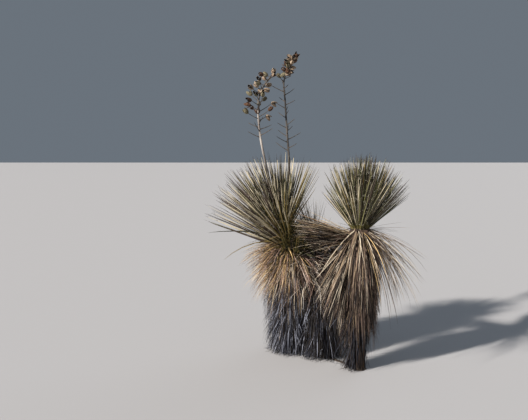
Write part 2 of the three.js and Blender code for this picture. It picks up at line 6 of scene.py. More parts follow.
import bpy
import numpy as np
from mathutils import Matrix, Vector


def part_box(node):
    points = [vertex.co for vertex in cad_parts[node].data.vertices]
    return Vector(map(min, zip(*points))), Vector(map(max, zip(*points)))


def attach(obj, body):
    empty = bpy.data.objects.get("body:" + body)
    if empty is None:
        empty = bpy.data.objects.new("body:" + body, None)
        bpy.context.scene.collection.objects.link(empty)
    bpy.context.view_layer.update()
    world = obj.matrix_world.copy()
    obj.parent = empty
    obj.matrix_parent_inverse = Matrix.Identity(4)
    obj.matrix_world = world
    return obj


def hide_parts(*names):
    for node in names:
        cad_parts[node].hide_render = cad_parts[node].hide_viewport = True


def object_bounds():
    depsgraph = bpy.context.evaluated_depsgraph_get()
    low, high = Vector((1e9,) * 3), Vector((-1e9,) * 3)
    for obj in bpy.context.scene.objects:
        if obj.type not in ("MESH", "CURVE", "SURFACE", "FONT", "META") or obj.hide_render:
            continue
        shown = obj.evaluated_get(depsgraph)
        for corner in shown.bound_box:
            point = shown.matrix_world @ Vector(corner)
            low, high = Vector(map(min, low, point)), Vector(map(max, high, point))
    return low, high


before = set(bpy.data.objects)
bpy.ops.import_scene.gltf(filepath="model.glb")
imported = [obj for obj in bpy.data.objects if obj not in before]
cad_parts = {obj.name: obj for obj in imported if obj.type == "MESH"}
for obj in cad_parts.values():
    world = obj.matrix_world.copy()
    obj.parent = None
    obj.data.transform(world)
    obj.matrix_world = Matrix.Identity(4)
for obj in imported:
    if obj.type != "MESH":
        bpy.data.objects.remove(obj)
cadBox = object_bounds()
degree = math.pi / 180
fullTurn = 2 * math.pi
goldenAngle = math.pi * (3 - math.sqrt(5))
goldenShare = (math.sqrt(5) - 1) / 2
tiny = 1e-12  # the least length that a vector is divided by
smallStep = 1e-6  # the least way from root to tip that a leaf is made smaller by

# where each stem leaves the ground, where its crown of leaves begins, and the bud at its tip
stems = {
    "left": {"foot": (-0.285, 0.15, 0.0), "crown": (-0.269, 0.15, 1.001), "bud": (-0.425, 0.15, 1.256),
             "radius": (0.062, 0.054)},
    "middle": {"foot": (0.0, 0.0, 0.0), "crown": (-0.052, 0.236, 1.052), "bud": (-0.084, 0.268, 1.118),
               "radius": (0.052, 0.034)},
    "right": {"foot": (0.302, -0.345, 0.0), "crown": (0.29, -0.32, 1.258), "bud": (0.306, -0.324, 1.380),
              "radius": (0.044, 0.046)},
}
stemLean = 1.5  # the power by which a stem leans further the higher it is
crownTip = 0.5  # a bud's radius, as a share of the radius where its crown begins


# numbers and vectors

dice = {"seedStep": 12.9898, "indexStep": 78.233, "multiple": 43758.5453}
waves = {"turnsAndRates": [(1, 1.0), (2, -1.7), (3, 2.6), (5, -3.9)], "fade": 0.5, "scale": 1.9}


def chance(seed, index):
    # the fraction that is left of a large multiple of the sine of seed and index, so 0 to 1
    wave = np.sin(seed * dice["seedStep"] + np.asarray(index, float) * dice["indexStep"]) * dice["multiple"]
    return wave - np.floor(wave)


def chances(seed, index, count):
    # several shares for each item, from seeds that follow each other
    return [chance(seed + k, index) for k in range(count)]


def swing(size, share):
    # half the size to either side of nought, by a share from 0 to 1
    return size * (share - 0.5)


def between(pair, share):
    # the first of the pair plus the way to the second times the share
    return pair[0] + (pair[1] - pair[0]) * share


def unit(vectors):
    # each vector over its own length
    return vectors / np.maximum(np.linalg.norm(vectors, axis=-1, keepdims=True), tiny)


def turned(first, second, angle):
    # the first direction times the cosine plus the second times the sine
    return first * np.cos(angle)[..., None] + second * np.sin(angle)[..., None]


def shrink(spines, size):
    # each leaf made smaller about its root
    return spines[:, :1] + (spines - spines[:, :1]) * size[:, None, None]


def outwardOf(bearing):
    # the level direction at a bearing in radians: cosine, sine and nought
    return np.stack([np.cos(bearing), np.sin(bearing), np.zeros_like(bearing)], -1)


def roundAngles(count):
    # angles evenly round a ring, from nought
    return np.linspace(0, fullTurn, count, endpoint=False)[None, :]


def stemAt(key, height):
    # foot plus the way to the crown times the share of the height to the lean's power; from there
    # the line from crown to bud
    foot, crown, bud = (np.array(stems[key][k]) for k in ("foot", "crown", "bud"))
    height = np.asarray(height, float)
    share = np.clip(height / crown[2], 0, 1)[..., None]
    above = np.clip((height - crown[2]) / (bud[2] - crown[2]), 0, 1)[..., None]
    point = foot + (crown - foot) * share ** stemLean + (bud - crown) * above
    point[..., 2] = height
    return point


def wobble(seed, angle, run):
    # sines of whole turns of the angle plus a growing rate of the run, each fainter than the one
    # before; about -1 to 1
    total = 0
    for k, (turns, rate) in enumerate(waves["turnsAndRates"]):
        phase = turns * angle + rate * run + fullTurn * chance(seed, k)
        total = total + np.sin(phase) / (1 + waves["fade"] * k)
    return total / waves["scale"]


# meshes from arrays

uvShift = {"seed": 7.3, "most": 3}  # how far one leaf's place in the fibre pattern may lie from another's


def meshPiece(name, points, faces, kinds, uv, materials, sharpAngle):
    # faces are index arrays, one for each number of corners; kinds are their material numbers
    loops = np.concatenate([f.reshape(-1) for f in faces]).astype(np.int32)
    sizes = np.concatenate([np.full(len(f), f.shape[1]) for f in faces])
    starts = np.concatenate([[0], np.cumsum(sizes)[:-1]]).astype(np.int32)
    mesh = bpy.data.meshes.new(name)
    mesh.vertices.add(len(points))
    mesh.vertices.foreach_set("co", points.astype(np.float32).reshape(-1))
    mesh.loops.add(len(loops))
    mesh.loops.foreach_set("vertex_index", loops)
    mesh.polygons.add(len(sizes))
    mesh.polygons.foreach_set("loop_start", starts)
    for material in materials:
        mesh.materials.append(material)
    mesh.polygons.foreach_set("material_index", np.concatenate(kinds).astype(np.int32))
    mesh.polygons.foreach_set("use_smooth", np.full(len(sizes), True))
    mesh.uv_layers.new(name="UVMap").data.foreach_set("uv", uv[loops].astype(np.float32).reshape(-1))
    mesh.update(calc_edges=True)
    mesh.set_sharp_from_angle(angle=sharpAngle * degree)
    piece = bpy.data.objects.new(name, mesh)
    bpy.context.scene.collection.objects.link(piece)
    return piece


def repeatFaces(template, count, perItem):
    # the same faces for each item, moved on by the number of points in an item
    moved = template[None] + (np.arange(count) * perItem)[:, None, None]
    return moved.reshape(-1, template.shape[1])


def gridFaces(rows, columns, closed=True):
    # rows run up and columns run round; quads, and a face at the foot and at the top
    i, j = np.meshgrid(np.arange(rows - 1), np.arange(columns if closed else columns - 1), indexing="ij")
    low, high, following = i * columns, (i + 1) * columns, (j + 1) % columns
    quads = np.stack([low + j, low + following, high + following, high + j], -1)
    ends = np.array([np.arange(columns)[::-1], (rows - 1) * columns + np.arange(columns)])
    return quads.reshape(-1, 4), ends


def ringFrames(spines, sides, twist):
    # across is the side made square to the tangent and turned about it; up is tangent cross across
    tangents = unit(np.gradient(spines, axis=-2))
    across = unit(sides - tangents * np.sum(sides * tangents, -1, keepdims=True))
    up = np.cross(tangents, across)
    return turned(across, up, twist), turned(up, -across, twist)


def bladePiece(name, spines, sides, half, section, rowParts, shade, table, materials,
               twist=0.0, sharpAngle=35):
    # point = spine + (across * x + up * y) * half for each (x, y) of the section; the last row is
    # the tip, one point, and a face closes the root; table gives the material of a part and shade
    n, m = spines.shape[:2]
    k = len(section)
    wideSides = np.broadcast_to(sides[:, None], spines.shape)
    across, up = ringFrames(spines, wideSides, np.zeros((n, m)) + twist)
    x, y = np.array(section).T
    offsets = across[:, :-1, None] * x[:, None] + up[:, :-1, None] * y[:, None]
    body = spines[:, :-1, None] + offsets * half[:, :-1, None, None]
    points = np.concatenate([body.reshape(n, -1, 3), spines[:, -1:]], 1)
    perLeaf = points.shape[1]
    quads, ends = gridFaces(m - 1, k)
    last = (m - 2) * k
    corners = np.arange(k)
    tips = np.stack([last + corners, last + (corners + 1) % k, np.full(k, perLeaf - 1)], -1)
    faces = [repeatFaces(f, n, perLeaf) for f in (quads, tips, ends[:1])]
    rowParts = np.asarray(rowParts)
    parts = [rowParts[:-1].reshape(-1), rowParts[-1], rowParts[0, :1]]
    kinds = [np.asarray(table)[p][:, shade].T.reshape(-1) for p in parts]
    steps = np.linalg.norm(np.diff(spines, axis=1), axis=-1)
    run = np.concatenate([np.zeros((n, 1)), np.cumsum(steps, 1)], 1)
    shift = uvShift["most"] * chance(uvShift["seed"], np.arange(n))[:, None]
    v = np.concatenate([np.repeat(run[:, :-1], k, 1), run[:, -1:]], 1) + shift
    u = np.broadcast_to(np.append(np.tile(corners / k, m - 1), 0.5), v.shape)
    uv = np.stack([u, v], -1).reshape(-1, 2)
    return meshPiece(name, points.reshape(-1, 3), faces, kinds, uv, materials, sharpAngle)


def gridPiece(name, grids, material, sharpAngle=40):
    # closed tubes or mounds, each a grid of rows by columns of points
    points, faces, ends, count = [], [], [], 0
    for grid in grids:
        quads, caps = gridFaces(*grid.shape[:2])
        faces.append(quads + count)
        ends.append(caps + count)
        points.append(grid.reshape(-1, 3))
        count += len(points[-1])
    groups = [np.concatenate(faces), *ends]
    kinds = [np.zeros(len(g), int) for g in groups]
    points = np.concatenate(points)
    return meshPiece(name, points, groups, kinds, points[:, [0, 2]], [material], sharpAngle)


def ridePiece(piece, slotName, *nodes):
    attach(piece, "root")
    if nodes:
        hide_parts(*nodes)
    return piece


# shader groups and materials

leafFibre = {"along": 6.0, "detail": 3.0, "blotchScale": 34.0, "blotchDetail": 2.0, "blotchShare": 0.3,
             "span": (0.35, 0.95)}
weathering = {"detail": 5.0, "fineTimes": 5.0, "fineDetail": 4.0, "fineShare": 0.6, "span": (0.36, 0.64)}


def makeGroup(name, inputs, outputs):
    group = bpy.data.node_groups.new(name, "ShaderNodeTree")
    for label, value in inputs.items():
        kind = "NodeSocketColor" if isinstance(value, tuple) else "NodeSocketFloat"
        socket = group.interface.new_socket(name=label, in_out="INPUT", socket_type=kind)
        socket.default_value = value
    for label, kind in outputs.items():
        group.interface.new_socket(name=label, in_out="OUTPUT", socket_type=kind)
    return group, group.nodes.new("NodeGroupInput").outputs, group.nodes.new("NodeGroupOutput").inputs


def put(group, kind, settings, **options):
    # a node whose sockets are set to values or linked to other nodes' outputs
    node = group.nodes.new(kind)
    for label, value in options.items():
        setattr(node, label, value)
    for label, value in settings.items():
        if isinstance(value, bpy.types.NodeSocket):
            group.links.new(value, node.inputs[label])
        else:
            node.inputs[label].default_value = value
    return node.outputs


def calculate(group, operation, a, b):
    return put(group, "ShaderNodeMath", {0: a, 1: b}, operation=operation)[0]


def noise(group, where, scale, detail):
    return put(group, "ShaderNodeTexNoise", {"Vector": where, "Scale": scale, "Detail": detail})["Fac"]


def stretchTo(group, value, span, low, high):
    # the span's ends become low and high, and what lies between them lies evenly between
    return put(group, "ShaderNodeMapRange", {"Value": value, "From Min": span[0], "From Max": span[1],
                                             "To Min": low, "To Max": high})[0]


def fibreGroup():
    # fibres run along the leaf: noise of across times the fibres and along times its own rate, with
    # slow blotches added
    group, given, result = makeGroup(
        "leafFibre", {"Fibres": 26.0, "Low": 0.45, "High": 0.75},
        {"Roughness": "NodeSocketFloat", "Height": "NodeSocketFloat"})
    place = put(group, "ShaderNodeSeparateXYZ", {0: put(group, "ShaderNodeUVMap", {}, uv_map="UVMap")[0]})
    across = calculate(group, "MULTIPLY", place[0], given["Fibres"])
    along = calculate(group, "MULTIPLY", place[1], leafFibre["along"])
    fibres = put(group, "ShaderNodeCombineXYZ", {0: across, 1: along})[0]
    fine = noise(group, fibres, 1.0, leafFibre["detail"])
    where = put(group, "ShaderNodeTexCoord", {})["Object"]
    slow = noise(group, where, leafFibre["blotchScale"], leafFibre["blotchDetail"])
    both = calculate(group, "ADD", fine, calculate(group, "MULTIPLY", slow, leafFibre["blotchShare"]))
    rough = stretchTo(group, both, leafFibre["span"], given["Low"], given["High"])
    group.links.new(rough, result["Roughness"])
    group.links.new(both, result["Height"])
    return group


def weatherGroup():
    # two colours mixed by a coarse noise stretched along Z; a fine noise gives the roughness, and
    # both together the height
    group, given, result = makeGroup(
        "weathered", {"Light": (0.4, 0.35, 0.3, 1), "Dark": (0.15, 0.12, 0.1, 1), "Scale": 30.0,
                      "Stretch": 0.2, "Low": 0.6, "High": 0.9},
        {"Color": "NodeSocketColor", "Roughness": "NodeSocketFloat", "Height": "NodeSocketFloat"})
    place = put(group, "ShaderNodeSeparateXYZ", {0: put(group, "ShaderNodeTexCoord", {})["Object"]})
    z = calculate(group, "MULTIPLY", place[2], given["Stretch"])
    where = put(group, "ShaderNodeCombineXYZ", {0: place[0], 1: place[1], 2: z})[0]
    coarse = noise(group, where, given["Scale"], weathering["detail"])
    fineScale = calculate(group, "MULTIPLY", given["Scale"], weathering["fineTimes"])
    fine = noise(group, where, fineScale, weathering["fineDetail"])
    spread = stretchTo(group, coarse, weathering["span"], 0.0, 1.0)
    mix = put(group, "ShaderNodeMix", {}, data_type="RGBA")
    ends = mix[0].node.inputs
    for target, source in {"Factor": spread, "A": given["Dark"], "B": given["Light"]}.items():
        group.links.new(source, next(s for s in ends if s.name == target and s.enabled))
    rough = stretchTo(group, fine, (0.0, 1.0), given["Low"], given["High"])
    both = calculate(group, "ADD", coarse, calculate(group, "MULTIPLY", fine, weathering["fineShare"]))
    group.links.new(next(s for s in mix if s.enabled), result["Color"])
    group.links.new(rough, result["Roughness"])
    group.links.new(both, result["Height"])
    return group


fibre, weather = fibreGroup(), weatherGroup()


def newMaterial(name, group, given, bump, distance, specular):
    # a Principled shader that takes roughness, bump and, where it gives one, colour from the group
    material = bpy.data.materials.new(name)
    material.use_nodes = True
    tree = material.node_tree
    shader = tree.nodes["Principled BSDF"]
    shader.inputs["Specular IOR Level"].default_value = specular
    effect = put(tree, "ShaderNodeGroup", {}, node_tree=group)
    for label, value in given.items():
        effect[0].node.inputs[label].default_value = value
    for label, target in {"Color": "Base Color", "Roughness": "Roughness"}.items():
        if label in effect:
            tree.links.new(effect[label], shader.inputs[target])
    relief = {"Strength": bump, "Distance": distance, "Height": effect["Height"]}
    tree.links.new(put(tree, "ShaderNodeBump", relief)[0], shader.inputs["Normal"])
    return material


def leafMaterial(name, colour, low=0.5, high=0.85, fibres=18.0, bump=0.5, distance=0.0015, specular=0.3):
    given = {"Fibres": fibres, "Low": low, "High": high}
    material = newMaterial(name, fibre, given, bump, distance, specular)
    material.node_tree.nodes["Principled BSDF"].inputs["Base Color"].default_value = (*colour, 1)
    return material


def weatheredMaterial(name, light, dark, scale, stretch, bump, distance, low=0.65, high=0.95, specular=0.3):
    given = {"Light": (*light, 1), "Dark": (*dark, 1), "Scale": scale, "Stretch": stretch,
             "Low": low, "High": high}
    return newMaterial(name, weather, given, bump, distance, specular)


liveFinish = {"low": 0.38, "high": 0.62, "fibres": 22.0, "bump": 0.3, "specular": 0.15}
# the near-black first blade colour is painted shade between the leaves; mauve is painted shade on the
# blades' shaded sides, partly old dry leaves; cream is painted sun glint on glossy blades, partly pale dry
# leaves
liveColours = {
    "shadowNight": (0.013, 0.012, 0.007), "moss": (0.020, 0.029, 0.007), "olive": (0.062, 0.064, 0.016),
    "lime": (0.155, 0.152, 0.046), "cream": (0.68, 0.59, 0.42), "mauve": (0.088, 0.060, 0.056),
    "ochre": (0.25, 0.18, 0.055),
}
edgeFinish = {**liveFinish, "low": 0.45, "high": 0.75}
edgeColours = {"dimMargin": (0.13, 0.11, 0.075), "paleMargin": (0.46, 0.41, 0.29),
               "spine": (0.05, 0.028, 0.02), "base": (0.15, 0.13, 0.05)}
# the other blades get the dim margin, which carries the dark blades' painted shade to their edges
paleEdged = ("lime", "cream", "olive")  # the blades whose margins are pale
# umber, near black, is painted shade for the gaps between dead leaves and under the skirts; slate, a dark
# bluish grey, is painted shade too
deadColours = {
    "gold": (0.60, 0.42, 0.20), "amber": (0.33, 0.195, 0.09), "rose": (0.50, 0.335, 0.27),
    "straw": (0.36, 0.265, 0.175), "cream": (0.68, 0.58, 0.45), "sunlitBleached": (0.84, 0.77, 0.70),
    "tan": (0.145, 0.10, 0.078), "brown": (0.048, 0.031, 0.024), "shadowUmber": (0.009, 0.006, 0.005),
    "ochre": (0.21, 0.155, 0.05), "sage": (0.10, 0.10, 0.045), "moss": (0.026, 0.031, 0.010),
    "ash": (0.088, 0.089, 0.108), "shadowSlate": (0.019, 0.021, 0.034), "silver": (0.31, 0.325, 0.40),
}


def leafMaterials(prefix, colours, **finish):
    # one material for each named colour, all of one finish
    return [leafMaterial(f"{prefix}{name.capitalize()}", c, **finish) for name, c in colours.items()]


# each row of the table gives one part's material for every blade colour
liveMaterials = leafMaterials("live", liveColours, **liveFinish)
liveMaterials += leafMaterials("live", edgeColours, **edgeFinish)
blades = np.arange(len(liveColours))
dimMargin, paleMargin, spineEdge, baseEdge = len(blades) + np.arange(len(edgeColours))
margins = [paleMargin if name in paleEdged else dimMargin for name in liveColours]
liveTable = np.array([blades, margins, 0 * blades + spineEdge, 0 * blades + baseEdge])
deadMaterials = dict(zip(deadColours, leafMaterials("dead", deadColours)))
print("materials made")

shadeSeed = 50  # added to a piece's seed to draw the shades of its leaves


def dealShades(shades, seed, first, second):
    # each leaf's shade is where a seeded share cuts the running total of the weights; a weight is a
    # number or goes by two values of the leaf
    weights = [w(first, second) if callable(w) else w for w in shades.values()]
    rows = np.stack([np.broadcast_to(w, second.shape) for w in weights], 1)
    total = np.cumsum(np.maximum(rows, 0), 1)
    cut = chance(seed + shadeSeed, np.arange(len(second)))[:, None] * total[:, -1:]
    return np.minimum((total < cut).sum(1), len(weights) - 1)


# stems and root crown

bark = {"columns": 72, "rows": 210, "scarsRound": 9, "scarHeight": 0.042, "relief": 0.0045,
        "wave": 0.0028, "waveTurns": 3, "waveRate": 31, "inset": 0.002, "start": -0.01}
flare = {"rows": 48, "swell": 0.5, "swellFade": 0.024, "buttress": 0.05, "buttressFade": 0.05,
         "buttresses": 5, "relief": 0.6, "seedStep": 3}
ridge = {"rows": 60, "columns": 20, "width": 0.019, "widthWave": 0.0015, "widthRate": 9, "widthSeed": 5,
         "height": 0.0092, "heightWave": 0.0008, "heightTurns": 3, "heightRate": 14, "heightSeed": 8}
barkMaterial = weatheredMaterial("fibrousBark", (0.13, 0.10, 0.078), (0.034, 0.025, 0.020),
                                 scale=36.0, stretch=0.25, bump=0.9, distance=0.006)


def barkRelief(theta, z, seed):
    # leaf scars in crossing spirals, |sine| of one times |sine| of the other, with slow waves added
    turn, rise = bark["scarsRound"] * theta / 2, math.pi * z / bark["scarHeight"]
    scars = bark["relief"] * (np.abs(np.sin(turn + rise) * np.sin(turn - rise)) - 0.5)
    return scars + bark["wave"] * wobble(seed, bark["waveTurns"] * theta, bark["waveRate"] * z)


def ringsAt(centres, z, theta, radius):
    # level rings of the given radii, one centre and one height for each
    points = centres + outwardOf(theta) * radius[..., None]
    points[..., 2] = z
    return points


def stemGrid(key, seed):
    # the radius runs evenly from foot to crown, less a little for the bark's relief
    stem = stems[key]
    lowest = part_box(f"{key}_stem")[0].z + bark["start"]
    z = np.linspace(lowest, stem["crown"][2], bark["rows"])[:, None]
    theta = roundAngles(bark["columns"])
    radius = between(stem["radius"], z / stem["crown"][2]) + barkRelief(theta, z, seed) - bark["inset"]
    return ringsAt(stemAt(key, z[:, 0])[:, None, :], z, theta, radius)


def footGrid(key, seed):
    # the foot swells toward the ground by a falling exponential, with buttress waves round it
    z = np.linspace(0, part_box("root_crown")[1].z, flare["rows"])[:, None]
    theta = roundAngles(bark["columns"])
    buttress = flare["buttress"] * np.exp(-z / flare["buttressFade"])
    swell = 1 + flare["swell"] * np.exp(-z / flare["swellFade"])
    swell = swell + buttress * np.sin(flare["buttresses"] * theta + seed)
    relief = flare["relief"] * barkRelief(theta, z, seed + flare["seedStep"])
    return ringsAt(np.array(stems[key]["foot"]), z, theta, stems[key]["radius"][0] * swell + relief)


def ridgeGrid(key):
    # half an oval carried level from the middle foot to another one, with small waves
    foot = np.array(stems[key]["foot"])
    along = np.linspace(0, 1, ridge["rows"])[:, None]
    angle = np.linspace(0, math.pi, ridge["columns"])[None, :]
    side = unit(np.array([-foot[1], foot[0], 0.0]))
    widthWave = ridge["widthWave"] * wobble(ridge["widthSeed"], 0, ridge["widthRate"] * along)
    heightWave = ridge["heightWave"] * wobble(ridge["heightSeed"], ridge["heightTurns"] * angle,
                                              ridge["heightRate"] * along)
    wide = np.cos(angle) * (ridge["width"] + widthWave)
    points = foot * along[..., None] + side * wide[..., None]
    points[..., 2] = np.sin(angle) * (ridge["height"] + heightWave)
    return points


feet = [footGrid(key, seed) for seed, key in enumerate(stems)] + [ridgeGrid("left"), ridgeGrid("right")]
ridePiece(gridPiece("rootCrown", feet, barkMaterial), "bark", "root_crown")
for seed, key in enumerate(stems):
    ridePiece(gridPiece(f"{key}Stem", [stemGrid(key, seed + 1)], barkMaterial), "bark", f"{key}_stem")
print("stems made")


# live crowns

# the widths of live and dead leaves, as leafHalf says
liveOutline = {"body": 1.0, "clasp": 1.0, "fade": 0.05, "taper": 3.4, "roundness": 0.8, "tip": 0.03,
               "narrowest": 0.85, "spread": 0.3}
deadOutline = {"body": 0.75, "clasp": 0.5, "fade": 0.06, "taper": 2.2, "roundness": 0.75, "tip": 0.04,
               "narrowest": 0.7, "spread": 0.6}


def leafHalf(outline, half, t, share):
    # (body + a clasp that fades from the root) times (1 - t to the taper) to the power of the
    # roundness, plus the tip; each leaf is narrower or wider by its share
    shape = outline["body"] + outline["clasp"] * np.exp(-t / outline["fade"])
    shape = shape * (1 - t ** outline["taper"]) ** outline["roundness"] + outline["tip"]
    return half * shape[None, :] * (outline["narrowest"] + outline["spread"] * share)[:, None]


# a leaf's section as (across, up) and its sides' parts: the blade, or the margin at its edges
bladePart, marginPart, tipPart, basePart = range(4)
liveSection = [(-1.0, 0.40), (-0.70, 0.26), (0.0, 0.0), (0.70, 0.26),
               (1.0, 0.40), (0.74, 0.08), (0.0, -0.22), (-0.74, 0.08)]
liveParts = [marginPart, bladePart, bladePart, marginPart] * 2
liveRows = np.array([0.0, 0.035, 0.10, 0.28, 0.52, 0.76, 0.95, 1.0])
liveLeaf = {"baseRows": 2, "widthSeed": 61, "shadeSeed": 71, "twistSeed": 77, "turnSeed": 79,
            "twist": 1.6, "turn": 2.0}

# fan is the tilt and bearing of a head's axis; dome the leaves' reach at its top and at its sides;
# a tier is its leans from the axis, its roots' shares of the way to the bud, and its leaves; the
# weights of the shades go by x, how far a leaf points to the right, and r, its lean over the widest.
# By x the right head puts painted shade, the darkest blades, on its right, away from the sun, and
# painted sunlit cream on its left; the left head puts its shaded mauve on its left
crowns = {
    "left": {
        "fan": (23, 180), "dome": (0.66, 0.71), "half": 0.0056, "sag": 0.02, "seed": 11, "climb": 0.6,
        "rootRadius": 0.058, "shadedSide": 270, "shadedAbove": 8, "shadedLength": 0.82, "stray": 0.10,
        "tiers": {"low": ((43, 64), (0.0, 0.45), 204), "middle": ((24, 43), (0.3, 0.8), 210),
                  "top": ((2, 24), (0.7, 1.0), 110)},
        "shades": {
            "shadowNight": 0.36, "moss": lambda x, r: 0.06 + 0.36 * np.exp(-(x / 0.35) ** 2),
            "olive": lambda x, r: 0.08 + 0.10 * (x > 0), "lime": lambda x, r: 0.06 + 0.3 * x,
            "cream": lambda x, r: 0.52 - 0.32 * np.exp(-(x / 0.3) ** 2),
            "mauve": lambda x, r: 0.12 - 0.7 * x, "ochre": lambda x, r: 6.0 * (r - 0.72) * (x > -0.55),
        },
    },
    "middle": {
        "fan": (24, 168), "dome": (0.47, 0.40), "half": 0.0042, "sag": 0.12, "seed": 23, "climb": 0,
        "rootRadius": 0.026, "shadedSide": 200, "shadedAbove": 40, "shadedLength": 0, "stray": 0.1,
        "tiers": {"tuft": ((3, 50), (0.0, 1.0), 84)},
        "shades": {"sage": 0.5, "ochre": 0.4, "straw": 0.5, "cream": 0.45, "tan": 0.2},
    },
    "right": {
        "fan": (4, 0), "dome": (0.55, 0.49), "half": 0.0048, "sag": 0.02, "seed": 37, "climb": 0,
        "rootRadius": 0.078, "shadedSide": 180, "shadedAbove": 46, "shadedLength": 0.84, "stray": 0.08,
        "tiers": {"low": ((42, 62), (0.0, 0.4), 168), "middle": ((23, 42), (0.3, 0.75), 204),
                  "top": ((2, 23), (0.64, 1.0), 140)},
        "shades": {
            "shadowNight": lambda x, r: 0.54 + 0.5 * x, "moss": 0.20, "olive": 0.20, "lime": 0.15,
            "cream": lambda x, r: 0.12 + 0.10 * (np.abs(x) > 0.15) - 0.16 * x, "mauve": 0.05, "ochre": 0.06,
        },
    },
}
growth = {"seedStep": 100, "crowding": 1.3, "turnJitter": 0.3, "highestRoot": 0.96, "rootRun": 0.92,
          "climbRate": 1.6, "shortest": 0.88, "lengthSpread": 0.155, "shadedWidth": 65, "bow": 0.03,
          "sagPower": 1.7}
boxAllowance = 0.025  # how far a leaf's tip may stand out of the frame's box


def squareTo(direction):
    # the direction as a unit axis, and two more directions square to it
    axis = unit(np.array(direction))
    level = unit(np.cross((0, 0, 1), axis))
    return axis, level, np.cross(axis, level)


def coreRadius(key, share):
    # the radius that the roots stand on, which falls evenly from the crown's foot to the bud
    return crowns[key]["rootRadius"] * (1 - (1 - crownTip) * share)


def withinBox(spines):
    # a leaf whose tip passes the frame's box by more than the allowance is made smaller about its root
    root, tip = spines[:, 0], spines[:, -1]
    low, high = np.array(cadBox[0]) - boxAllowance, np.array(cadBox[1]) + boxAllowance
    bound = np.where(tip > root, high, low)
    way = np.where(np.abs(tip - root) < smallStep, smallStep, tip - root)
    return shrink(spines, np.clip((bound - root) / way, 0, 1).min(1))


def tierSpines(key, leans, shares, count, rows):
    # leaves turn on by the golden angle; cos(lean) runs evenly through the tier and the root climbs
    # as it rises; each leaf runs from its root to its place on a dome round the bud, strays a
    # little, bows to one side and sags by t to the sag's power
    crown = crowns[key]
    foot, bud = np.array(stems[key]["crown"]), np.array(stems[key]["bud"])
    tilt, facing = np.array(crown["fan"]) * degree
    lean3 = (math.sin(tilt) * math.cos(facing), math.sin(tilt) * math.sin(facing), math.cos(tilt))
    axis, level, upright = squareTo(lean3)
    widest = max(tier[0][1] for tier in crown["tiers"].values())
    i = np.arange(count)
    seed = crown["seed"] + leans[0]
    pick = chances(seed, i, 9)
    rank = (i + 0.5) / count
    lean = np.arccos(between(np.cos(np.array(leans) * degree), rank ** growth["crowding"]))
    turn = i * goldenAngle + swing(growth["turnJitter"], pick[0])
    outward = turned(level, upright, turn)
    share = between(shares, growth["highestRoot"] - growth["rootRun"] * rank)
    climbing = np.clip(growth["climbRate"] * outward[:, 0], 0, 1)
    share = share + (1 - share) * crown["climb"] * climbing
    root = foot + (bud - foot) * share[:, None] + outward * coreRadius(key, share)[:, None]
    onDome = turned(axis, outward, lean) + crown["stray"] * (np.stack(pick[6:9], -1) - 0.5)
    radius = between(crown["dome"], lean / degree / widest)
    reach = bud + onDome * radius[:, None] - root
    length = np.linalg.norm(reach, axis=1) * (growth["shortest"] + growth["lengthSpread"] * pick[1])
    direction = unit(reach)
    bearing = np.arctan2(outward[:, 1], outward[:, 0]) / degree
    off = np.abs((bearing - crown["shadedSide"] + 540) % 360 - 180)
    shaded = (lean / degree > crown["shadedAbove"]) & (off < growth["shadedWidth"])
    length = length * np.where(shaded, crown["shadedLength"], 1)
    keep = length > 0
    spine = root[:, None] + direction[:, None] * (length[:, None] * rows)[..., None]
    sideways = unit(np.cross(direction, outward))
    bow = swing(growth["bow"], pick[4])
    spine += sideways[:, None] * (bow[:, None] * (4 * rows * (1 - rows) - rows ** 2))[..., None]
    spine[..., 2] -= (crown["sag"] * length * np.sin(lean))[:, None] * rows ** growth["sagPower"]
    ids = seed * growth["seedStep"] + i
    return spine[keep], sideways[keep], ids[keep], (lean / degree / widest)[keep]


def crownSpines(key, rows):
    # the leaves of all tiers, one after another, kept within the frame's box
    tiers = [tierSpines(key, *tier, rows) for tier in crowns[key]["tiers"].values()]
    spines, sides, ids, leans = [np.concatenate(part) for part in zip(*tiers)]
    return withinBox(spines), sides, ids, leans


def crownPiece(name, key):
    # live leaves, turned at the root by one seeded share and twisted evenly along by another
    spines, sides, ids, lean = crownSpines(key, liveRows)
    half = leafHalf(liveOutline, crowns[key]["half"], liveRows, chance(liveLeaf["widthSeed"], ids))
    parts = np.tile(liveParts, (len(liveRows) - 1, 1))
    parts[:liveLeaf["baseRows"]] = basePart
    parts[-1] = tipPart
    rightward = unit(spines[:, -1] - spines[:, 0])[:, 0]
    shade = dealShades(crowns[key]["shades"], liveLeaf["shadeSeed"], rightward, lean)
    twist = swing(liveLeaf["twist"], chance(liveLeaf["twistSeed"], ids))[:, None] * liveRows[None, :]
    twist = twist + swing(liveLeaf["turn"], chance(liveLeaf["turnSeed"], ids))[:, None]
    piece = bladePiece(name, spines, sides, half, liveSection, parts, shade, liveTable, liveMaterials, twist)
    return piece, spines, sides, half


curls = {"perLeaf": 2, "length": (0.04, 0.10), "half": 0.0004, "rows": 8, "seed": 211, "firstRow": 2,
         "rowsUsed": 4, "atEdge": 0.9, "lean": 0.5, "turns": 0.6, "run": 0.45, "radius": 0.22,
         "section": [(-1.0, -0.6), (1.0, -0.6), (0.0, 1.0)]}
curlMaterial = leafMaterial("marginThread", (0.74, 0.70, 0.58), low=0.5, high=0.8, fibres=10.0, bump=0.2)


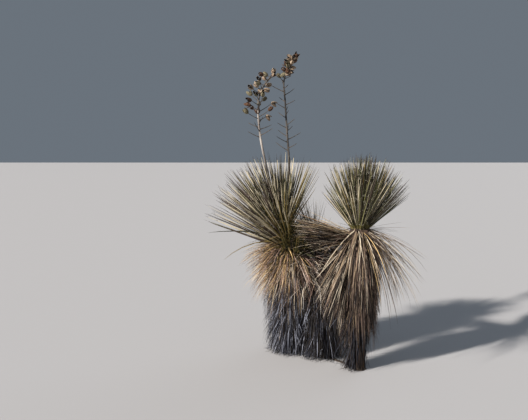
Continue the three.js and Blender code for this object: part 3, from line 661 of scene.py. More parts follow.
def curlPiece(name, spines, sides, half):
    # a thread leaves the margin: a run outward plus a circle that grows with the share of its length
    count = curls["perLeaf"] * len(spines)
    leaf = np.tile(np.arange(len(spines)), curls["perLeaf"])
    pick = chances(curls["seed"], np.arange(count), 5)
    row = curls["firstRow"] + np.floor(pick[0] * curls["rowsUsed"]).astype(int)
    sign = np.where(pick[1] < 0.5, -1.0, 1.0)
    start = spines[leaf, row] + sides[leaf] * (sign * curls["atEdge"] * half[leaf, row])[:, None]
    along = unit(spines[leaf, row + 1] - spines[leaf, row])
    away = unit(sides[leaf] * sign[:, None] + curls["lean"] * along)
    up = np.cross(along, away)
    t = np.linspace(0, 1, curls["rows"])[None, :]
    angle = fullTurn * (curls["turns"] + pick[2][:, None]) * t + fullTurn * pick[3][:, None]
    size = between(curls["length"], pick[4])[:, None]
    path = start[:, None] + away[:, None] * (size * curls["run"] * t)[..., None]
    path += turned(along[:, None], up[:, None], angle) * (curls["radius"] * size * t)[..., None]
    parts = np.zeros((curls["rows"] - 1, len(curls["section"])), int)
    thread = np.full((count, curls["rows"]), curls["half"])
    shade = np.zeros(count, int)
    return bladePiece(name, path, up, thread, curls["section"], parts, shade, [[0]], [curlMaterial])


budShape = {"start": -0.04, "rows": 60, "cap": [1.03, 1.05], "columns": 48, "closesAt": 1.06,
            "closing": 0.06, "body": 0.94, "ripple": 0.07, "ripplesRound": 4, "ripplesUp": 40}


def budGrid(key):
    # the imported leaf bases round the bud: the stem's end radius, tapering, with clasping ripples
    foot, bud = np.array(stems[key]["crown"]), np.array(stems[key]["bud"])
    level, upright = squareTo(bud - foot)[1:]
    share = np.append(np.linspace(budShape["start"], 1, budShape["rows"]), budShape["cap"])[:, None]
    theta = roundAngles(budShape["columns"])
    closed = np.where(share > 1, (budShape["closesAt"] - share) / budShape["closing"], 1)
    turn, rise = budShape["ripplesRound"] * theta, budShape["ripplesUp"] * share
    ripples = budShape["body"] + budShape["ripple"] * np.abs(np.sin(turn + rise) * np.sin(turn - rise))
    radius = coreRadius(key, share) * closed * ripples
    return foot + (bud - foot) * share[..., None] + turned(level, upright, theta) * radius[..., None]


for key in ("left", "right"):
    piece, spines, sides, half = crownPiece(f"{key}CrownLeaves", key)
    ridePiece(piece, "green_leaf", *[f"{key}_crown_{tier}" for tier in ("low", "middle", "top")])
    ridePiece(curlPiece(f"{key}MarginThreads", spines, sides, half), "green_leaf")
    ridePiece(gridPiece(f"{key}Bud", [budGrid(key)], liveMaterials[baseEdge]), "green_leaf")
print("live crowns made")


# dead leaves

deadSection = [(-1.0, 0.34), (0.0, 0.02), (1.0, 0.34), (0.0, -0.30)]
deadRows = 7
deadParts = np.zeros((deadRows - 1, len(deadSection)), int)
lying = {"height": 0.006, "spread": 0.018, "seed": 311}  # how high a leaf lies that reaches the ground
droop = {"steepest": -88, "widthSeed": 40, "turnJitter": 0.08, "liftByRank": 0.74, "liftByChance": 0.34,
         "shortShare": 0.12, "shortLength": 0.6, "kinkFrom": 0.25, "kinkSpread": 0.5, "noKink": 2.0,
         "kinkLeast": 18, "kinkMore": 50, "swerve": 26, "reachLeast": 0.9, "reachMore": 0.1, "turn": 0.8}
shadeBearing = -10  # the bearing of the side of a head that lies away from the sun


def droopSpines(root, heading, lift, bend, onset, length, swerve, kinkAt, kink):
    # each step turns down: slope = lift - bend * t to the power onset, less the kink past its place;
    # the bearing swerves evenly, and what would sink below the ground lies on it
    t = (np.arange(deadRows - 1) + 0.5) / (deadRows - 1)
    slope = lift[:, None] - bend[:, None] * t ** onset - (t[None, :] > kinkAt[:, None]) * kink[:, None]
    slope = np.maximum(slope, droop["steepest"]) * degree
    step = outwardOf((heading[:, None] + swerve[:, None] * t) * degree) * np.cos(slope)[..., None]
    step[..., 2] = np.sin(slope)
    travelled = np.cumsum(step * (length / (deadRows - 1))[:, None, None], 1)
    path = np.concatenate([root[:, None], root[:, None] + travelled], 1)
    ground = lying["height"] + lying["spread"] * chance(lying["seed"], np.arange(len(root)))[:, None]
    path[..., 2] = np.maximum(path[..., 2], ground)
    return path


def withinReach(spines, key, reach):
    # a leaf whose tip lies past the reach, level with its root's place on the stem, is made smaller
    centre = stemAt(key, spines[:, 0, 2])[:, :2]
    tip = np.linalg.norm(spines[:, -1, :2] - centre, axis=1)
    root = np.linalg.norm(spines[:, 0, :2] - centre, axis=1)
    inside = np.clip((reach - root) / np.maximum(tip - root, smallStep), 0, 1)
    return shrink(spines, np.where(tip > reach, inside, 1.0))


def deadBlades(name, spines, sides, half, shade, shades, twist=0.0):
    # a piece of dead leaves whose shades are names of dead colours
    materials = [deadMaterials[colour] for colour in shades]
    table = [range(len(materials))]
    return bladePiece(name, spines, sides, half, deadSection, deadParts, shade, table, materials, twist)


def deadHalf(half, count, seed):
    # the outline of dead leaves, each with a seeded share of the spread
    share = chance(seed + droop["widthSeed"], np.arange(count))
    return leafHalf(deadOutline, half, np.linspace(0, 1, deadRows), share)


def deadPiece(name, spec, slotName, *nodes):
    # roots are spread by the golden share round the stem between two heights, more near the top
    seed, i = spec["seed"], np.arange(spec["leaves"])
    pick = chances(seed, i, 12)
    rank = ((i + 0.5) / spec["leaves"]) ** spec["crowding"]
    bearing = between(spec["side"], (i * goldenShare + droop["turnJitter"] * pick[0]) % 1)
    lifted = np.clip(droop["liftByRank"] * rank + droop["liftByChance"] * pick[1], 0, 1)
    lift = between(spec["lift"], lifted ** spec["hang"])
    shortened = np.where(pick[9] < droop["shortShare"], droop["shortLength"], 1)
    length = between(spec["length"], pick[2]) * shortened
    height = between(spec["height"], rank) + spec["rise"] * rank ** 2 * sunSide(bearing) ** 2
    depth = between(spec["depth"], pick[4])[:, None]
    root = stemAt(spec["stem"], height) + outwardOf(bearing * degree) * depth
    heading = bearing + spec["jitter"] * (pick[5] + pick[6] - 1)
    place = droop["kinkFrom"] + droop["kinkSpread"] * pick[8]
    kinkAt = np.where(pick[7] < spec["kinked"], place, droop["noKink"])
    kink = droop["kinkLeast"] + droop["kinkMore"] * pick[9]
    spines = droopSpines(root, heading, lift, between(spec["bend"], pick[3]), spec["onset"], length,
                         swing(droop["swerve"], pick[10]), kinkAt, kink)
    reach = spec["reach"] * (droop["reachLeast"] + droop["reachMore"] * pick[4])
    spines = withinReach(spines, spec["stem"], reach)
    twist = swing(spec["twist"], pick[11])[:, None] * np.linspace(0, 1, deadRows)
    twist = twist + swing(droop["turn"], pick[6])[:, None]
    shade = dealShades(spec["shades"], seed, bearing, rank)
    half = deadHalf(spec["half"], len(i), seed)
    sides = outwardOf(heading * degree + math.pi / 2)
    return ridePiece(deadBlades(name, spines, sides, half, shade, spec["shades"], twist), slotName, *nodes)


def sunSide(bearing):
    # half less half the cosine from the shaded side: 1 at the left of a head, 0 at its right
    return np.clip(0.5 - 0.5 * np.cos((bearing - shadeBearing) * degree), 0, 1)


# side, lift, bend, jitter and kinks are in degrees, and twist in radians; height is where the roots
# leave the stem, and depth how far from its axis; reach is from that axis too; the weights of the
# shades go by b, the bearing, and r, the rank, 0 at the lowest root and 1 at the highest
deadLeaf = {"side": (-180, 180), "rise": 0, "crowding": 1.0, "hang": 1.0, "onset": 0.8, "kinked": 0}
leftSkirt = {
    **deadLeaf, "stem": "left", "seed": 41, "leaves": 2600, "height": (0.64, 0.965), "rise": 0.14,
    "crowding": 0.58, "lift": (-72, 15), "hang": 1.1, "bend": (26, 72), "onset": 0.7, "length": (0.26, 0.46),
    "depth": (0.045, 0.10), "reach": 0.53, "jitter": 36, "kinked": 0.2, "half": 0.0028, "twist": 2.4,
    # gold and amber weigh most on the sun side: painted sunlight on the dry leaves
    "shades": {
        "gold": lambda b, r: 2.2 * sunSide(b) * r ** 3, "amber": lambda b, r: 0.7 * sunSide(b) * r ** 3,
        "rose": lambda b, r: 1.7 * (1.1 - sunSide(b)) * r ** 2, "straw": 0.26, "cream": 0.46, "tan": 0.30,
        "brown": lambda b, r: 0.4 + 0.6 * (1 - r), "shadowUmber": 0.6, "ash": lambda b, r: 1.4 * (1 - r),
    },
}
leftFringe = {
    **leftSkirt, "seed": 151, "leaves": 420, "side": (138, 232), "height": (0.84, 1.06), "rise": 0,
    "crowding": 0.9, "lift": (-34, 6), "bend": (24, 52), "length": (0.36, 0.54), "kinked": 0.1,
    "half": 0.0025,
    "shades": {"gold": 0.5, "amber": 0.4, "straw": 0.4, "cream": 0.4, "tan": 0.5, "brown": 0.5, "rose": 0.2},
}
leftCollar = {
    **deadLeaf, "stem": "left", "seed": 131, "leaves": 150, "side": (170, 345), "height": (0.97, 1.22),
    "lift": (-26, 66), "bend": (0, 50), "length": (0.22, 0.42), "depth": (0.04, 0.09),
    "reach": 0.50, "jitter": 100, "half": 0.0060, "twist": 2.0,
    "shades": {"ochre": 0.6, "sage": 0.4, "gold": 0.08, "brown": 0.35, "shadowUmber": 0.4},
}
frontCollar = {
    **leftCollar, "seed": 139, "leaves": 170, "side": (212, 322), "height": (0.985, 1.20), "lift": (-4, 74),
    "bend": (0, 14), "length": (0.24, 0.43), "reach": 0.42, "jitter": 56, "half": 0.0056,
    "shades": {"moss": 0.7, "sage": 0.8, "ochre": 1.0, "shadowUmber": 0.15, "gold": 0.12},
}
apronCollar = {
    **frontCollar, "seed": 157, "leaves": 110, "side": (232, 304), "height": (0.925, 1.03),
    "depth": (0.08, 0.14), "lift": (22, 78), "bend": (0, 10), "length": (0.22, 0.40), "jitter": 44,
    "shades": {"moss": 0.8, "sage": 0.6, "ochre": 0.8, "shadowUmber": 0.35},
}
innerCollar = {
    **leftCollar, "seed": 137, "leaves": 150, "side": (-50, 50), "height": (0.98, 1.16), "lift": (-10, 66),
    "bend": (0, 30), "length": (0.14, 0.30), "reach": 0.30, "jitter": 60, "half": 0.0050,
    "shades": {"moss": 0.7, "sage": 0.3, "ochre": 0.22, "shadowUmber": 0.7, "brown": 0.4, "straw": 0.1},
}
middleSkirt = {
    **deadLeaf, "stem": "middle", "seed": 67, "leaves": 2700, "height": (0.66, 1.06),
    "crowding": 0.75, "lift": (-56, 26), "hang": 1.1, "bend": (10, 70), "length": (0.18, 0.42),
    "depth": (0.03, 0.20), "reach": 0.44, "jitter": 150, "kinked": 0.5, "half": 0.0029, "twist": 3.0,
    # umber, the heaviest weight, is painted shade: this skirt lies in the left head's shadow
    "shades": {"tan": 0.16, "brown": 0.7, "shadowUmber": 2.6, "ash": 0.16, "silver": 0.1, "straw": 0.08,
               "cream": 0.1, "shadowSlate": 0.3},
}
middleStrands = {
    **middleSkirt, "seed": 149, "leaves": 800, "height": (0.66, 1.10), "crowding": 0.8, "lift": (-64, 50),
    "bend": (-20, 60), "length": (0.14, 0.32), "depth": (0.22, 0.38), "reach": 0.48, "jitter": 180,
    # the bleached strands are pale dry leaves brightened into painted sunlight
    "half": 0.0018, "shades": {"sunlitBleached": 0.6, "cream": 0.3, "rose": 0.3, "tan": 0.4, "brown": 0.3},
}
rightSkirt = {
    **deadLeaf, "stem": "right", "seed": 53, "leaves": 2300, "side": (-138, 138), "height": (0.92, 1.275),
    "crowding": 0.6, "lift": (-80, -40), "bend": (30, 48), "onset": 0.3, "length": (0.46, 0.70),
    "depth": (0.05, 0.08), "reach": 0.21, "jitter": 16, "kinked": 0.05, "half": 0.0030, "twist": 1.8,
    "shades": {"straw": 0.50, "cream": 0.46, "tan": 0.75, "brown": 1.0, "rose": 0.30, "shadowUmber": 0.9},
}
rightOuter = {
    **rightSkirt, "seed": 57, "leaves": 140, "height": (1.16, 1.265), "lift": (-44, -8), "bend": (22, 46),
    "onset": 0.9, "length": (0.60, 0.84), "reach": 0.60, "kinked": 0, "half": 0.0044,
    "shades": {"cream": 0.5, "gold": 0.2, "straw": 0.5, "tan": 0.45, "brown": 0.4},
}
rightCurtain = {
    **rightOuter, "seed": 63, "leaves": 104, "side": (-50, 60), "lift": (-66, -30), "bend": (18, 40),
    "length": (0.58, 0.80), "reach": 0.46, "half": 0.0040,
}
rightWisps = {
    **rightSkirt, "seed": 58, "leaves": 22, "height": (1.22, 1.265), "lift": (-10, 14), "bend": (0, 14),
    "onset": 0.9, "length": (0.26, 0.44), "reach": 0.50, "half": 0.0026,
}
rightInner = {
    **rightSkirt, "seed": 59, "leaves": 600, "side": (138, 222), "height": (0.90, 1.16), "lift": (-72, -40),
    "bend": (8, 30), "onset": 0.5, "length": (0.50, 0.70), "reach": 0.44,
    # umber here is painted shade between the heads
    "shades": {"straw": 0.3, "cream": 0.34, "tan": 0.35, "brown": 0.9, "rose": 0.1, "shadowUmber": 2.2},
}
rightDeadFan = {
    **deadLeaf, "stem": "right", "seed": 101, "leaves": 300, "side": (140, 218), "height": (1.10, 1.190),
    "crowding": 0.8, "lift": (4, 21), "hang": 0.8, "bend": (0, 8), "length": (0.46, 0.64),
    "depth": (0.04, 0.07), "reach": 0.64, "jitter": 14, "half": 0.0044, "twist": 1.8,
    # umber grows toward the lowest roots, painted shade under the fan; straw and cream grow toward the top,
    # a painted highlight along its upper edge
    "shades": {"tan": 0.4, "brown": 0.8, "straw": lambda b, r: 0.14 + 0.6 * r ** 3, "rose": 0.14,
               "shadowUmber": lambda b, r: 1.2 + 2.2 * (1 - r), "cream": lambda b, r: 0.12 + 0.5 * r ** 3},
}
fanStrands = {
    **rightDeadFan, "seed": 107, "leaves": 90, "height": (1.12, 1.215), "lift": (0, 27), "bend": (0, 26),
    "length": (0.40, 0.62), "jitter": 34, "half": 0.0028, "twist": 2.4,
    "shades": {"gold": 0.25, "cream": 0.5, "straw": 0.5, "tan": 0.3, "amber": 0.2},
}
leftThatch = {
    **deadLeaf, "stem": "left", "seed": 71, "leaves": 3100, "height": (0.12, 0.76),
    "lift": (-68, -30), "bend": (4, 44), "length": (0.22, 0.38),
    "depth": (0.07, 0.15), "reach": 0.30, "jitter": 76, "kinked": 0.35, "half": 0.0031, "twist": 3.0,
    # slate, heavier toward the lowest roots, is painted shade: darker and bluer towards the ground
    "shades": {
        "ash": 0.8, "silver": 0.58, "shadowSlate": lambda b, r: 0.7 + 0.9 * (1 - r),
        "tan": lambda b, r: 0.7 * r ** 4, "brown": lambda b, r: 0.04 + 0.5 * r ** 3, "shadowUmber": 1.1,
        "straw": lambda b, r: 0.3 * r ** 4,
    },
}
middleThatch = {
    **leftThatch, "stem": "middle", "seed": 83, "leaves": 2700, "height": (0.12, 0.74), "jitter": 96,
    # slate and umber outweigh the rest: painted shade, as this thatch lies in the left mound's shadow
    "reach": 0.29, "shades": {"ash": 0.2, "silver": 0.36, "shadowSlate": 1.6, "brown": 0.12, "shadowUmber": 3.0},
}
rightThatch = {
    **deadLeaf, "stem": "right", "seed": 97, "leaves": 1300, "height": (0.66, 1.0),
    "lift": (-84, -60), "bend": (0, 18), "length": (0.26, 0.42),
    "depth": (0.04, 0.11), "reach": 0.20, "jitter": 20, "kinked": 0.1, "half": 0.0038, "twist": 2.0,
    "shades": {"tan": 0.9, "brown": 1.0, "shadowUmber": 1.1, "straw": 0.3, "ash": 0.2, "rose": 0.2},
}
rightHem = {
    **rightSkirt, "seed": 91, "leaves": 760, "side": (-170, 170), "height": (0.56, 0.86), "crowding": 1.0,
    "lift": (-84, -64), "bend": (-6, 12), "length": (0.24, 0.46), "depth": (0.07, 0.13), "reach": 0.19,
    # umber and brown outweigh the rest: painted shade under the right skirt
    "jitter": 24, "shades": {"shadowUmber": 1.3, "brown": 1.2, "tan": 0.8, "straw": 0.22, "ash": 0.1},
}
rightLowThatch = {
    **leftThatch, "stem": "right", "seed": 89, "leaves": 700, "side": (100, 236), "height": (0.08, 0.60),
    "lift": (-74, -30), "length": (0.20, 0.36), "depth": (0.02, 0.07), "reach": 0.32, "half": 0.0034,
    # umber and slate: painted shade at the foot of the right stem
    "shades": {"shadowUmber": 2.2, "brown": 0.4, "shadowSlate": 1.0, "ash": 0.2, "silver": 0.06},
}
rightFootStrands = {
    **rightLowThatch, "seed": 93, "leaves": 520, "side": (-180, 180), "height": (0.10, 0.66),
    "lift": (-88, -66), "bend": (0, 14), "length": (0.12, 0.30), "depth": (0.035, 0.055), "reach": 0.11,
    # umber and slate: painted shade round the right stem's foot
    "shades": {"shadowUmber": 2.0, "brown": 0.7, "shadowSlate": 0.6, "tan": 0.22, "amber": 0.10},
}


def around(prefix):
    return [f"{prefix}_{side}" for side in ("front", "outer", "back")]


deadPiece("leftSkirtLeaves", leftSkirt, "golden_leaf", *around("left_skirt"))
deadPiece("leftFringeLeaves", leftFringe, "golden_leaf")
deadPiece("leftCollarLeaves", leftCollar, "golden_leaf")
deadPiece("frontCollarLeaves", frontCollar, "green_leaf")
deadPiece("apronCollarLeaves", apronCollar, "green_leaf")
deadPiece("innerCollarLeaves", innerCollar, "golden_leaf")
deadPiece("middleSkirtLeaves", middleSkirt, "brown_leaf", *around("middle_skirt"))
deadPiece("middleStrands", middleStrands, "brown_leaf")
deadPiece("rightSkirtLeaves", rightSkirt, "straw_leaf", *around("right_skirt"))
deadPiece("rightOuterLeaves", rightOuter, "straw_leaf")
deadPiece("rightCurtainLeaves", rightCurtain, "straw_leaf")
deadPiece("rightWisps", rightWisps, "straw_leaf")
deadPiece("rightInnerLeaves", rightInner, "straw_leaf", "right_skirt_inner")
deadPiece("rightDeadFanLeaves", rightDeadFan, "brown_leaf", "right_dead_fan")
deadPiece("fanStrands", fanStrands, "brown_leaf")
deadPiece("leftThatchLeaves", leftThatch, "grey_leaf", *around("left_thatch"))
deadPiece("middleThatchLeaves", middleThatch, "grey_leaf", *around("middle_thatch"))
deadPiece("rightThatchLeaves", rightThatch, "straw_leaf", *around("right_thatch"))
deadPiece("rightHemLeaves", rightHem, "straw_leaf")
deadPiece("rightLowThatchLeaves", rightLowThatch, "grey_leaf", "right_thatch_low")
deadPiece("rightFootStrands", rightFootStrands, "grey_leaf")

looseLeaves = {
    "root": [(-0.31, 0.12, 1.10), (-0.31, 0.10, 1.07)], "heading": (180, 184), "lift": (17, 14),
    "bend": (25, 58), "length": (0.80, 0.69), "onset": 1.0, "half": 0.0095, "seed": 7, "twist": 1.3,
    "shades": ("moss", "ochre"),
}


def loosePiece(name):
    # two low leaves that stand apart from the left head, each on its own droop
    spec = looseLeaves
    root, heading, lift, bend, length = (
        np.array(spec[k], float) for k in ("root", "heading", "lift", "bend", "length"))
    shade = np.arange(len(root))
    still = np.zeros(len(root))
    noKink = still + droop["noKink"]
    spines = droopSpines(root, heading, lift, bend, spec["onset"], length, still, noKink, still)
    sides = outwardOf(heading * degree + math.pi / 2)
    half = deadHalf(spec["half"], len(root), spec["seed"])
    return deadBlades(name, spines, sides, half, shade, spec["shades"], spec["twist"])


def tuftPiece(name):
    # the middle head's pale tuft follows the live rule with dry leaves
    crown = crowns["middle"]
    spines, sides, ids, lean = crownSpines("middle", np.linspace(0, 1, deadRows))
    shade = dealShades(crown["shades"], crown["seed"], ids, lean)
    half = deadHalf(crown["half"], len(spines), crown["seed"])
    return deadBlades(name, spines, sides, half, shade, crown["shades"])


ridePiece(loosePiece("looseLeaves"), "green_leaf")
ridePiece(tuftPiece("middleTuftLeaves"), "pale_leaf", "middle_crown_tuft")
print("dead leaves made")


# packed leaf bases

# they fill each skirt round its stem; the radii run evenly from the lower height to the upper
packs = {
    "left": {"height": (0.02, 1.0), "seed": 5,
             "radii": (0.14, 0.155, 0.165, 0.17, 0.165, 0.15, 0.11, 0.052)},
    "middle": {"height": (0.02, 1.05), "seed": 6,
               "radii": (0.13, 0.145, 0.15, 0.15, 0.14, 0.12, 0.09, 0.036)},
    "right": {"height": (0.40, 1.262), "seed": 7,
              "radii": (0.050, 0.085, 0.11, 0.11, 0.10, 0.095, 0.09, 0.076)},
}
packRelief = {"rows": 90, "columns": 120, "flutes": 9.5, "drift": 3, "driftRate": 6, "flute": 0.10,
              "body": 0.92, "wave": 0.05, "waveTurns": 9, "waveRate": 12, "seedStep": 9}
packMaterial = weatheredMaterial("packedBases", (0.075, 0.058, 0.045), (0.014, 0.011, 0.009),
                                 scale=60.0, stretch=0.08, bump=1.0, distance=0.01)


def packGrid(key):
    # a turned profile of radii by height, fluted by |sine| of half turns that drift with height
    spec, seed = packs[key], packs[key]["seed"]
    z = np.linspace(*spec["height"], packRelief["rows"])[:, None]
    theta = roundAngles(packRelief["columns"])
    radius = np.interp(z, np.linspace(*spec["height"], len(spec["radii"])), spec["radii"])
    drift = packRelief["drift"] * wobble(seed, 0, packRelief["driftRate"] * z)
    flute = np.abs(np.sin(packRelief["flutes"] * theta + drift)) * packRelief["flute"]
    turn, rise = packRelief["waveTurns"] * theta, packRelief["waveRate"] * z
    wave = packRelief["wave"] * wobble(seed + packRelief["seedStep"], turn, rise)
    radius = radius * (packRelief["body"] + flute + wave)
    return ringsAt(stemAt(key, z[:, 0])[:, None, :], z, theta, radius)


for key, slotName in {"left": "grey_leaf", "middle": "grey_leaf", "right": "straw_leaf"}.items():
    ridePiece(gridPiece(f"{key}PackedBases", [packGrid(key)], packMaterial), slotName)
print("packed bases made")


# flower stalks, twigs and pods

# a stalk's line of points, its radius at foot and tip, and the heights where its colour is dark,
# then pale, then pale, then dark again; the dark foot, down among the leaves, is painted shade, and
# the stalk is also darker towards its tip
stalks = {
    "left": {"line": [(-0.408, 0.15, 1.228), (-0.456, 0.147, 1.48), (-0.54, 0.142, 1.85),
                      (-0.586, 0.14, 2.09), (-0.603, 0.14, 2.36), (-0.588, 0.14, 2.49),
                      (-0.53, 0.144, 2.59), (-0.47, 0.15, 2.668)],
             "radius": (0.0150, 0.0060), "seed": 31, "zones": ((1.76, 2.02), (2.26, 2.42)), "darkest": 0.28},
    "right": {"line": [(-0.282, 0.176, 1.06), (-0.296, 0.172, 1.477), (-0.314, 0.166, 1.908),
                       (-0.334, 0.16, 2.182), (-0.349, 0.158, 2.407), (-0.355, 0.156, 2.63),
                       (-0.32, 0.154, 2.716), (-0.262, 0.152, 2.822)],
              "radius": (0.0145, 0.0056), "seed": 33, "zones": ((1.40, 1.62), (2.60, 2.72)), "darkest": 0.6},
}
stalkShape = {"rows": 420, "sides": 20, "taper": 0.9, "joint": 0.10, "jointFrom": 1.2, "jointStep": 0.085,
              "jointWidth": 0.10, "rib": 0.05, "ribs": 7, "ribDrift": 2, "ribRate": 8, "wave": 0.03,
              "waveSeed": 2, "waveRate": 60}
panicles = {  # stalk, lowest and highest foot, twigs, reach, seed; the last three bear pods
    "left_bare_twigs": ("left", 2.062, 2.222, 8, (0.110, 0.175), 3),
    "right_bare_twigs_low": ("right", 1.930, 2.240, 11, (0.090, 0.165), 9),
    "right_bare_twigs_high": ("right", 2.240, 2.650, 13, (0.060, 0.165), 15),
    "left_pods_low": ("left", 2.222, 2.440, 13, (0.045, 0.190), 7),
    "left_pods_high": ("left", 2.440, 2.668, 14, (0.035, 0.140), 5),
    "right_pods": ("right", 2.650, 2.822, 19, (0.010, 0.028), 25),
}
twig = {"climb": 27, "climbSpread": 16, "rows": 9, "half": 0.0041, "sides": 5, "curvePoints": 900,
        "before": 0.6, "after": 0.4, "turnJitter": 0.5, "dip": 0.03, "nod": 0.9, "nodFall": 1.5,
        "thinning": 0.45, "footSwell": 0.9, "footFade": 0.07, "sharpAngle": 60}
stalkFinish = {"scale": 50.0, "stretch": 0.06, "distance": 0.002}
stalkMaterials = {
    "left": weatheredMaterial("paleStalk", (0.50, 0.45, 0.41), (0.11, 0.09, 0.085), bump=0.5, **stalkFinish),
    "right": weatheredMaterial("greyStalk", (0.135, 0.12, 0.11), (0.034, 0.029, 0.027), bump=0.6,
                               **stalkFinish),
}
twigMaterial = weatheredMaterial("twigWood", (0.115, 0.088, 0.066), (0.035, 0.027, 0.022),
                                 scale=70.0, stretch=0.4, bump=0.5, distance=0.001)


def shadeStalk(key):
    # the colour is multiplied by the darkest share outside the zones and by 1 between them, along Z;
    # low down this is painted shade from the crown
    tree = stalkMaterials[key].node_tree
    shader = tree.nodes["Principled BSDF"]
    colour = shader.inputs["Base Color"].links[0].from_socket
    z = put(tree, "ShaderNodeSeparateXYZ", {0: put(tree, "ShaderNodeTexCoord", {})["Object"]})[2]
    rising, falling = stalks[key]["zones"]
    darkest = stalks[key]["darkest"]
    share = calculate(tree, "MULTIPLY", stretchTo(tree, z, rising, darkest, 1.0),
                      stretchTo(tree, z, falling[::-1], darkest, 1.0))
    scaled = put(tree, "ShaderNodeVectorMath", {0: colour}, operation="SCALE")
    tree.links.new(share, scaled[0].node.inputs["Scale"])
    tree.links.new(scaled[0], shader.inputs["Base Color"])


def stalkCurve(key, count):
    # cubic pieces through the line's points, whose slopes are the gradient of the points
    line = np.array(stalks[key]["line"])
    s = np.concatenate([[0], np.cumsum(np.linalg.norm(np.diff(line, axis=0), axis=1))])
    slope = np.gradient(line, s, axis=0)
    at = np.linspace(0, s[-1], count)
    i = np.clip(np.searchsorted(s, at, side="right") - 1, 0, len(s) - 2)
    h = (s[i + 1] - s[i])[:, None]
    t = (at - s[i])[:, None] / h
    near = (2 * t ** 3 - 3 * t ** 2 + 1) * line[i] + (t ** 3 - 2 * t ** 2 + t) * h * slope[i]
    return near + (3 * t ** 2 - 2 * t ** 3) * line[i + 1] + (t ** 3 - t ** 2) * h * slope[i + 1]


def stalkRadius(key, z):
    # from the foot's radius to the tip's by the share of the height to the taper's power
    low, high = stalks[key]["line"][0][2], stalks[key]["line"][-1][2]
    return between(stalks[key]["radius"], np.clip((z - low) / (high - low), 0, 1) ** stalkShape["taper"])


def stalkGrid(key):
    # the radius ripples with ribs round the stalk and swells at each joint by a bell curve
    shape, seed = stalkShape, stalks[key]["seed"]
    curve = stalkCurve(key, shape["rows"])
    theta = roundAngles(shape["sides"])
    z = curve[:, 2:]
    fromJoint = ((z - shape["jointFrom"]) / shape["jointStep"]) % 1 - 0.5
    joints = 1 + shape["joint"] * np.exp(-(fromJoint / shape["jointWidth"]) ** 2)
    drift = shape["ribDrift"] * wobble(seed, 0, shape["ribRate"] * z)
    ribs = 1 + shape["rib"] * np.sin(shape["ribs"] * theta + drift)
    ribs = ribs + shape["wave"] * wobble(shape["waveSeed"], theta, shape["waveRate"] * z)
    across, up = ringFrames(curve, np.broadcast_to((1.0, 0.0, 0.0), curve.shape), np.zeros(len(curve)))
    radius = stalkRadius(key, z) * joints * ribs
    return curve[:, None] + turned(across[:, None], up[:, None], theta) * radius[..., None]


def twigPaths(nodeName):
    # the source's twigs: spiral feet, outward climb and reach by seed; here they dip, then curl up
    key, low, high, count, reach, seed = panicles[nodeName]
    i = np.arange(count)
    curve = stalkCurve(key, twig["curvePoints"])
    height = between((low, high), (i + twig["before"]) / (count + twig["after"]))
    foot = np.stack([np.interp(height, curve[:, 2], curve[:, k]) for k in range(3)], -1)
    turn = i * goldenAngle + seed + twig["turnJitter"] * chance(seed, i)
    climb = (twig["climb"] + swing(twig["climbSpread"], chance(seed + 1, i))) * degree
    size = between(reach, chance(seed + 2, i))
    out = unit(np.stack([np.cos(turn), np.sin(turn), np.tan(climb)], -1))
    t = np.linspace(0, 1, twig["rows"])
    path = foot[:, None] + out[:, None] * (size[:, None] * t)[..., None]
    path[..., 2] -= twig["dip"] * size[:, None] * np.sin(math.pi * t)
    rise = twig["nod"] - twig["nodFall"] * chance(seed + 3, i) ** 2
    nod = unit(np.stack([out[:, 0], out[:, 1], rise], -1))
    return path, out, nod


def twigsOf(nodeNames):
    # the paths, directions and nods of several panicles, joined
    return [np.concatenate(part) for part in zip(*[twigPaths(nodeName) for nodeName in nodeNames])]


def twigPiece(name, key, slotName, *nodes):
    # twigs that thin evenly to the tip, with a swollen foot; those that bear pods are here too
    paths, outs = twigsOf(nodeName for nodeName in panicles if nodeName.startswith(key))[:2]
    t = np.linspace(0, 1, twig["rows"])
    shape = 1 - twig["thinning"] * t + twig["footSwell"] * np.exp(-t / twig["footFade"])
    half = np.broadcast_to(twig["half"] * shape, paths.shape[:2])
    angle = np.arange(twig["sides"]) * fullTurn / twig["sides"]
    section = np.stack([np.cos(angle), np.sin(angle)], -1)
    parts = np.zeros((twig["rows"] - 1, twig["sides"]), int)
    shade = np.zeros(len(paths), int)
    sides = unit(np.cross(outs, (0, 0, 1)))
    piece = bladePiece(name, paths, sides, half, section, parts, shade, [[0]], [twigMaterial],
                       sharpAngle=twig["sharpAngle"])
    return ridePiece(piece, slotName, *nodes)


pod = {
    "length": 0.060, "radius": 0.0235, "wall": 0.0016, "gape": 0.52, "sunk": 0.006, "seed": 401,
    "olive": {"leftPods": 0.33, "rightPods": 0.12}, "rows": 11, "columns": 9, "valves": 3, "valveHalf": 57,
    "root": 0.01, "run": 0.90, "roundness": 0.55, "narrowing": 0.25, "groove": 0.10, "grooveWidth": 0.16,
    "ripple": 0.02, "ripplesRound": 9, "ripplesUp": 5, "opening": 0.10, "leanOut": 0.9, "leanPower": 2.2,
    "leastGape": 0.15, "gapeTimes": 2.6, "gapePower": 1.5, "smallest": 0.84, "sizeSpread": 0.26,
    "centre": 0.42, "spinAbout": (0.3, 0.9, 0.2), "sharpAngle": 40,
}
seedStack = {"rows": 17, "sides": 9, "span": (-0.40, 0.36), "radius": 0.62, "halfHeight": 0.47,
             "least": 0.05, "notch": (0.86, 0.14), "lobe": 0.12, "lobes": 3}
podSkins = {
    "podTan": ((0.46, 0.36, 0.26), (0.12, 0.07, 0.045)),
    "podOlive": ((0.24, 0.21, 0.13), (0.055, 0.045, 0.028)),
    "podBrown": ((0.17, 0.085, 0.048), (0.030, 0.016, 0.011)),
}
podMaterials = [weatheredMaterial(name, *colours, scale=90.0, stretch=1.0, bump=0.7, distance=0.002)
                for name, colours in podSkins.items()]
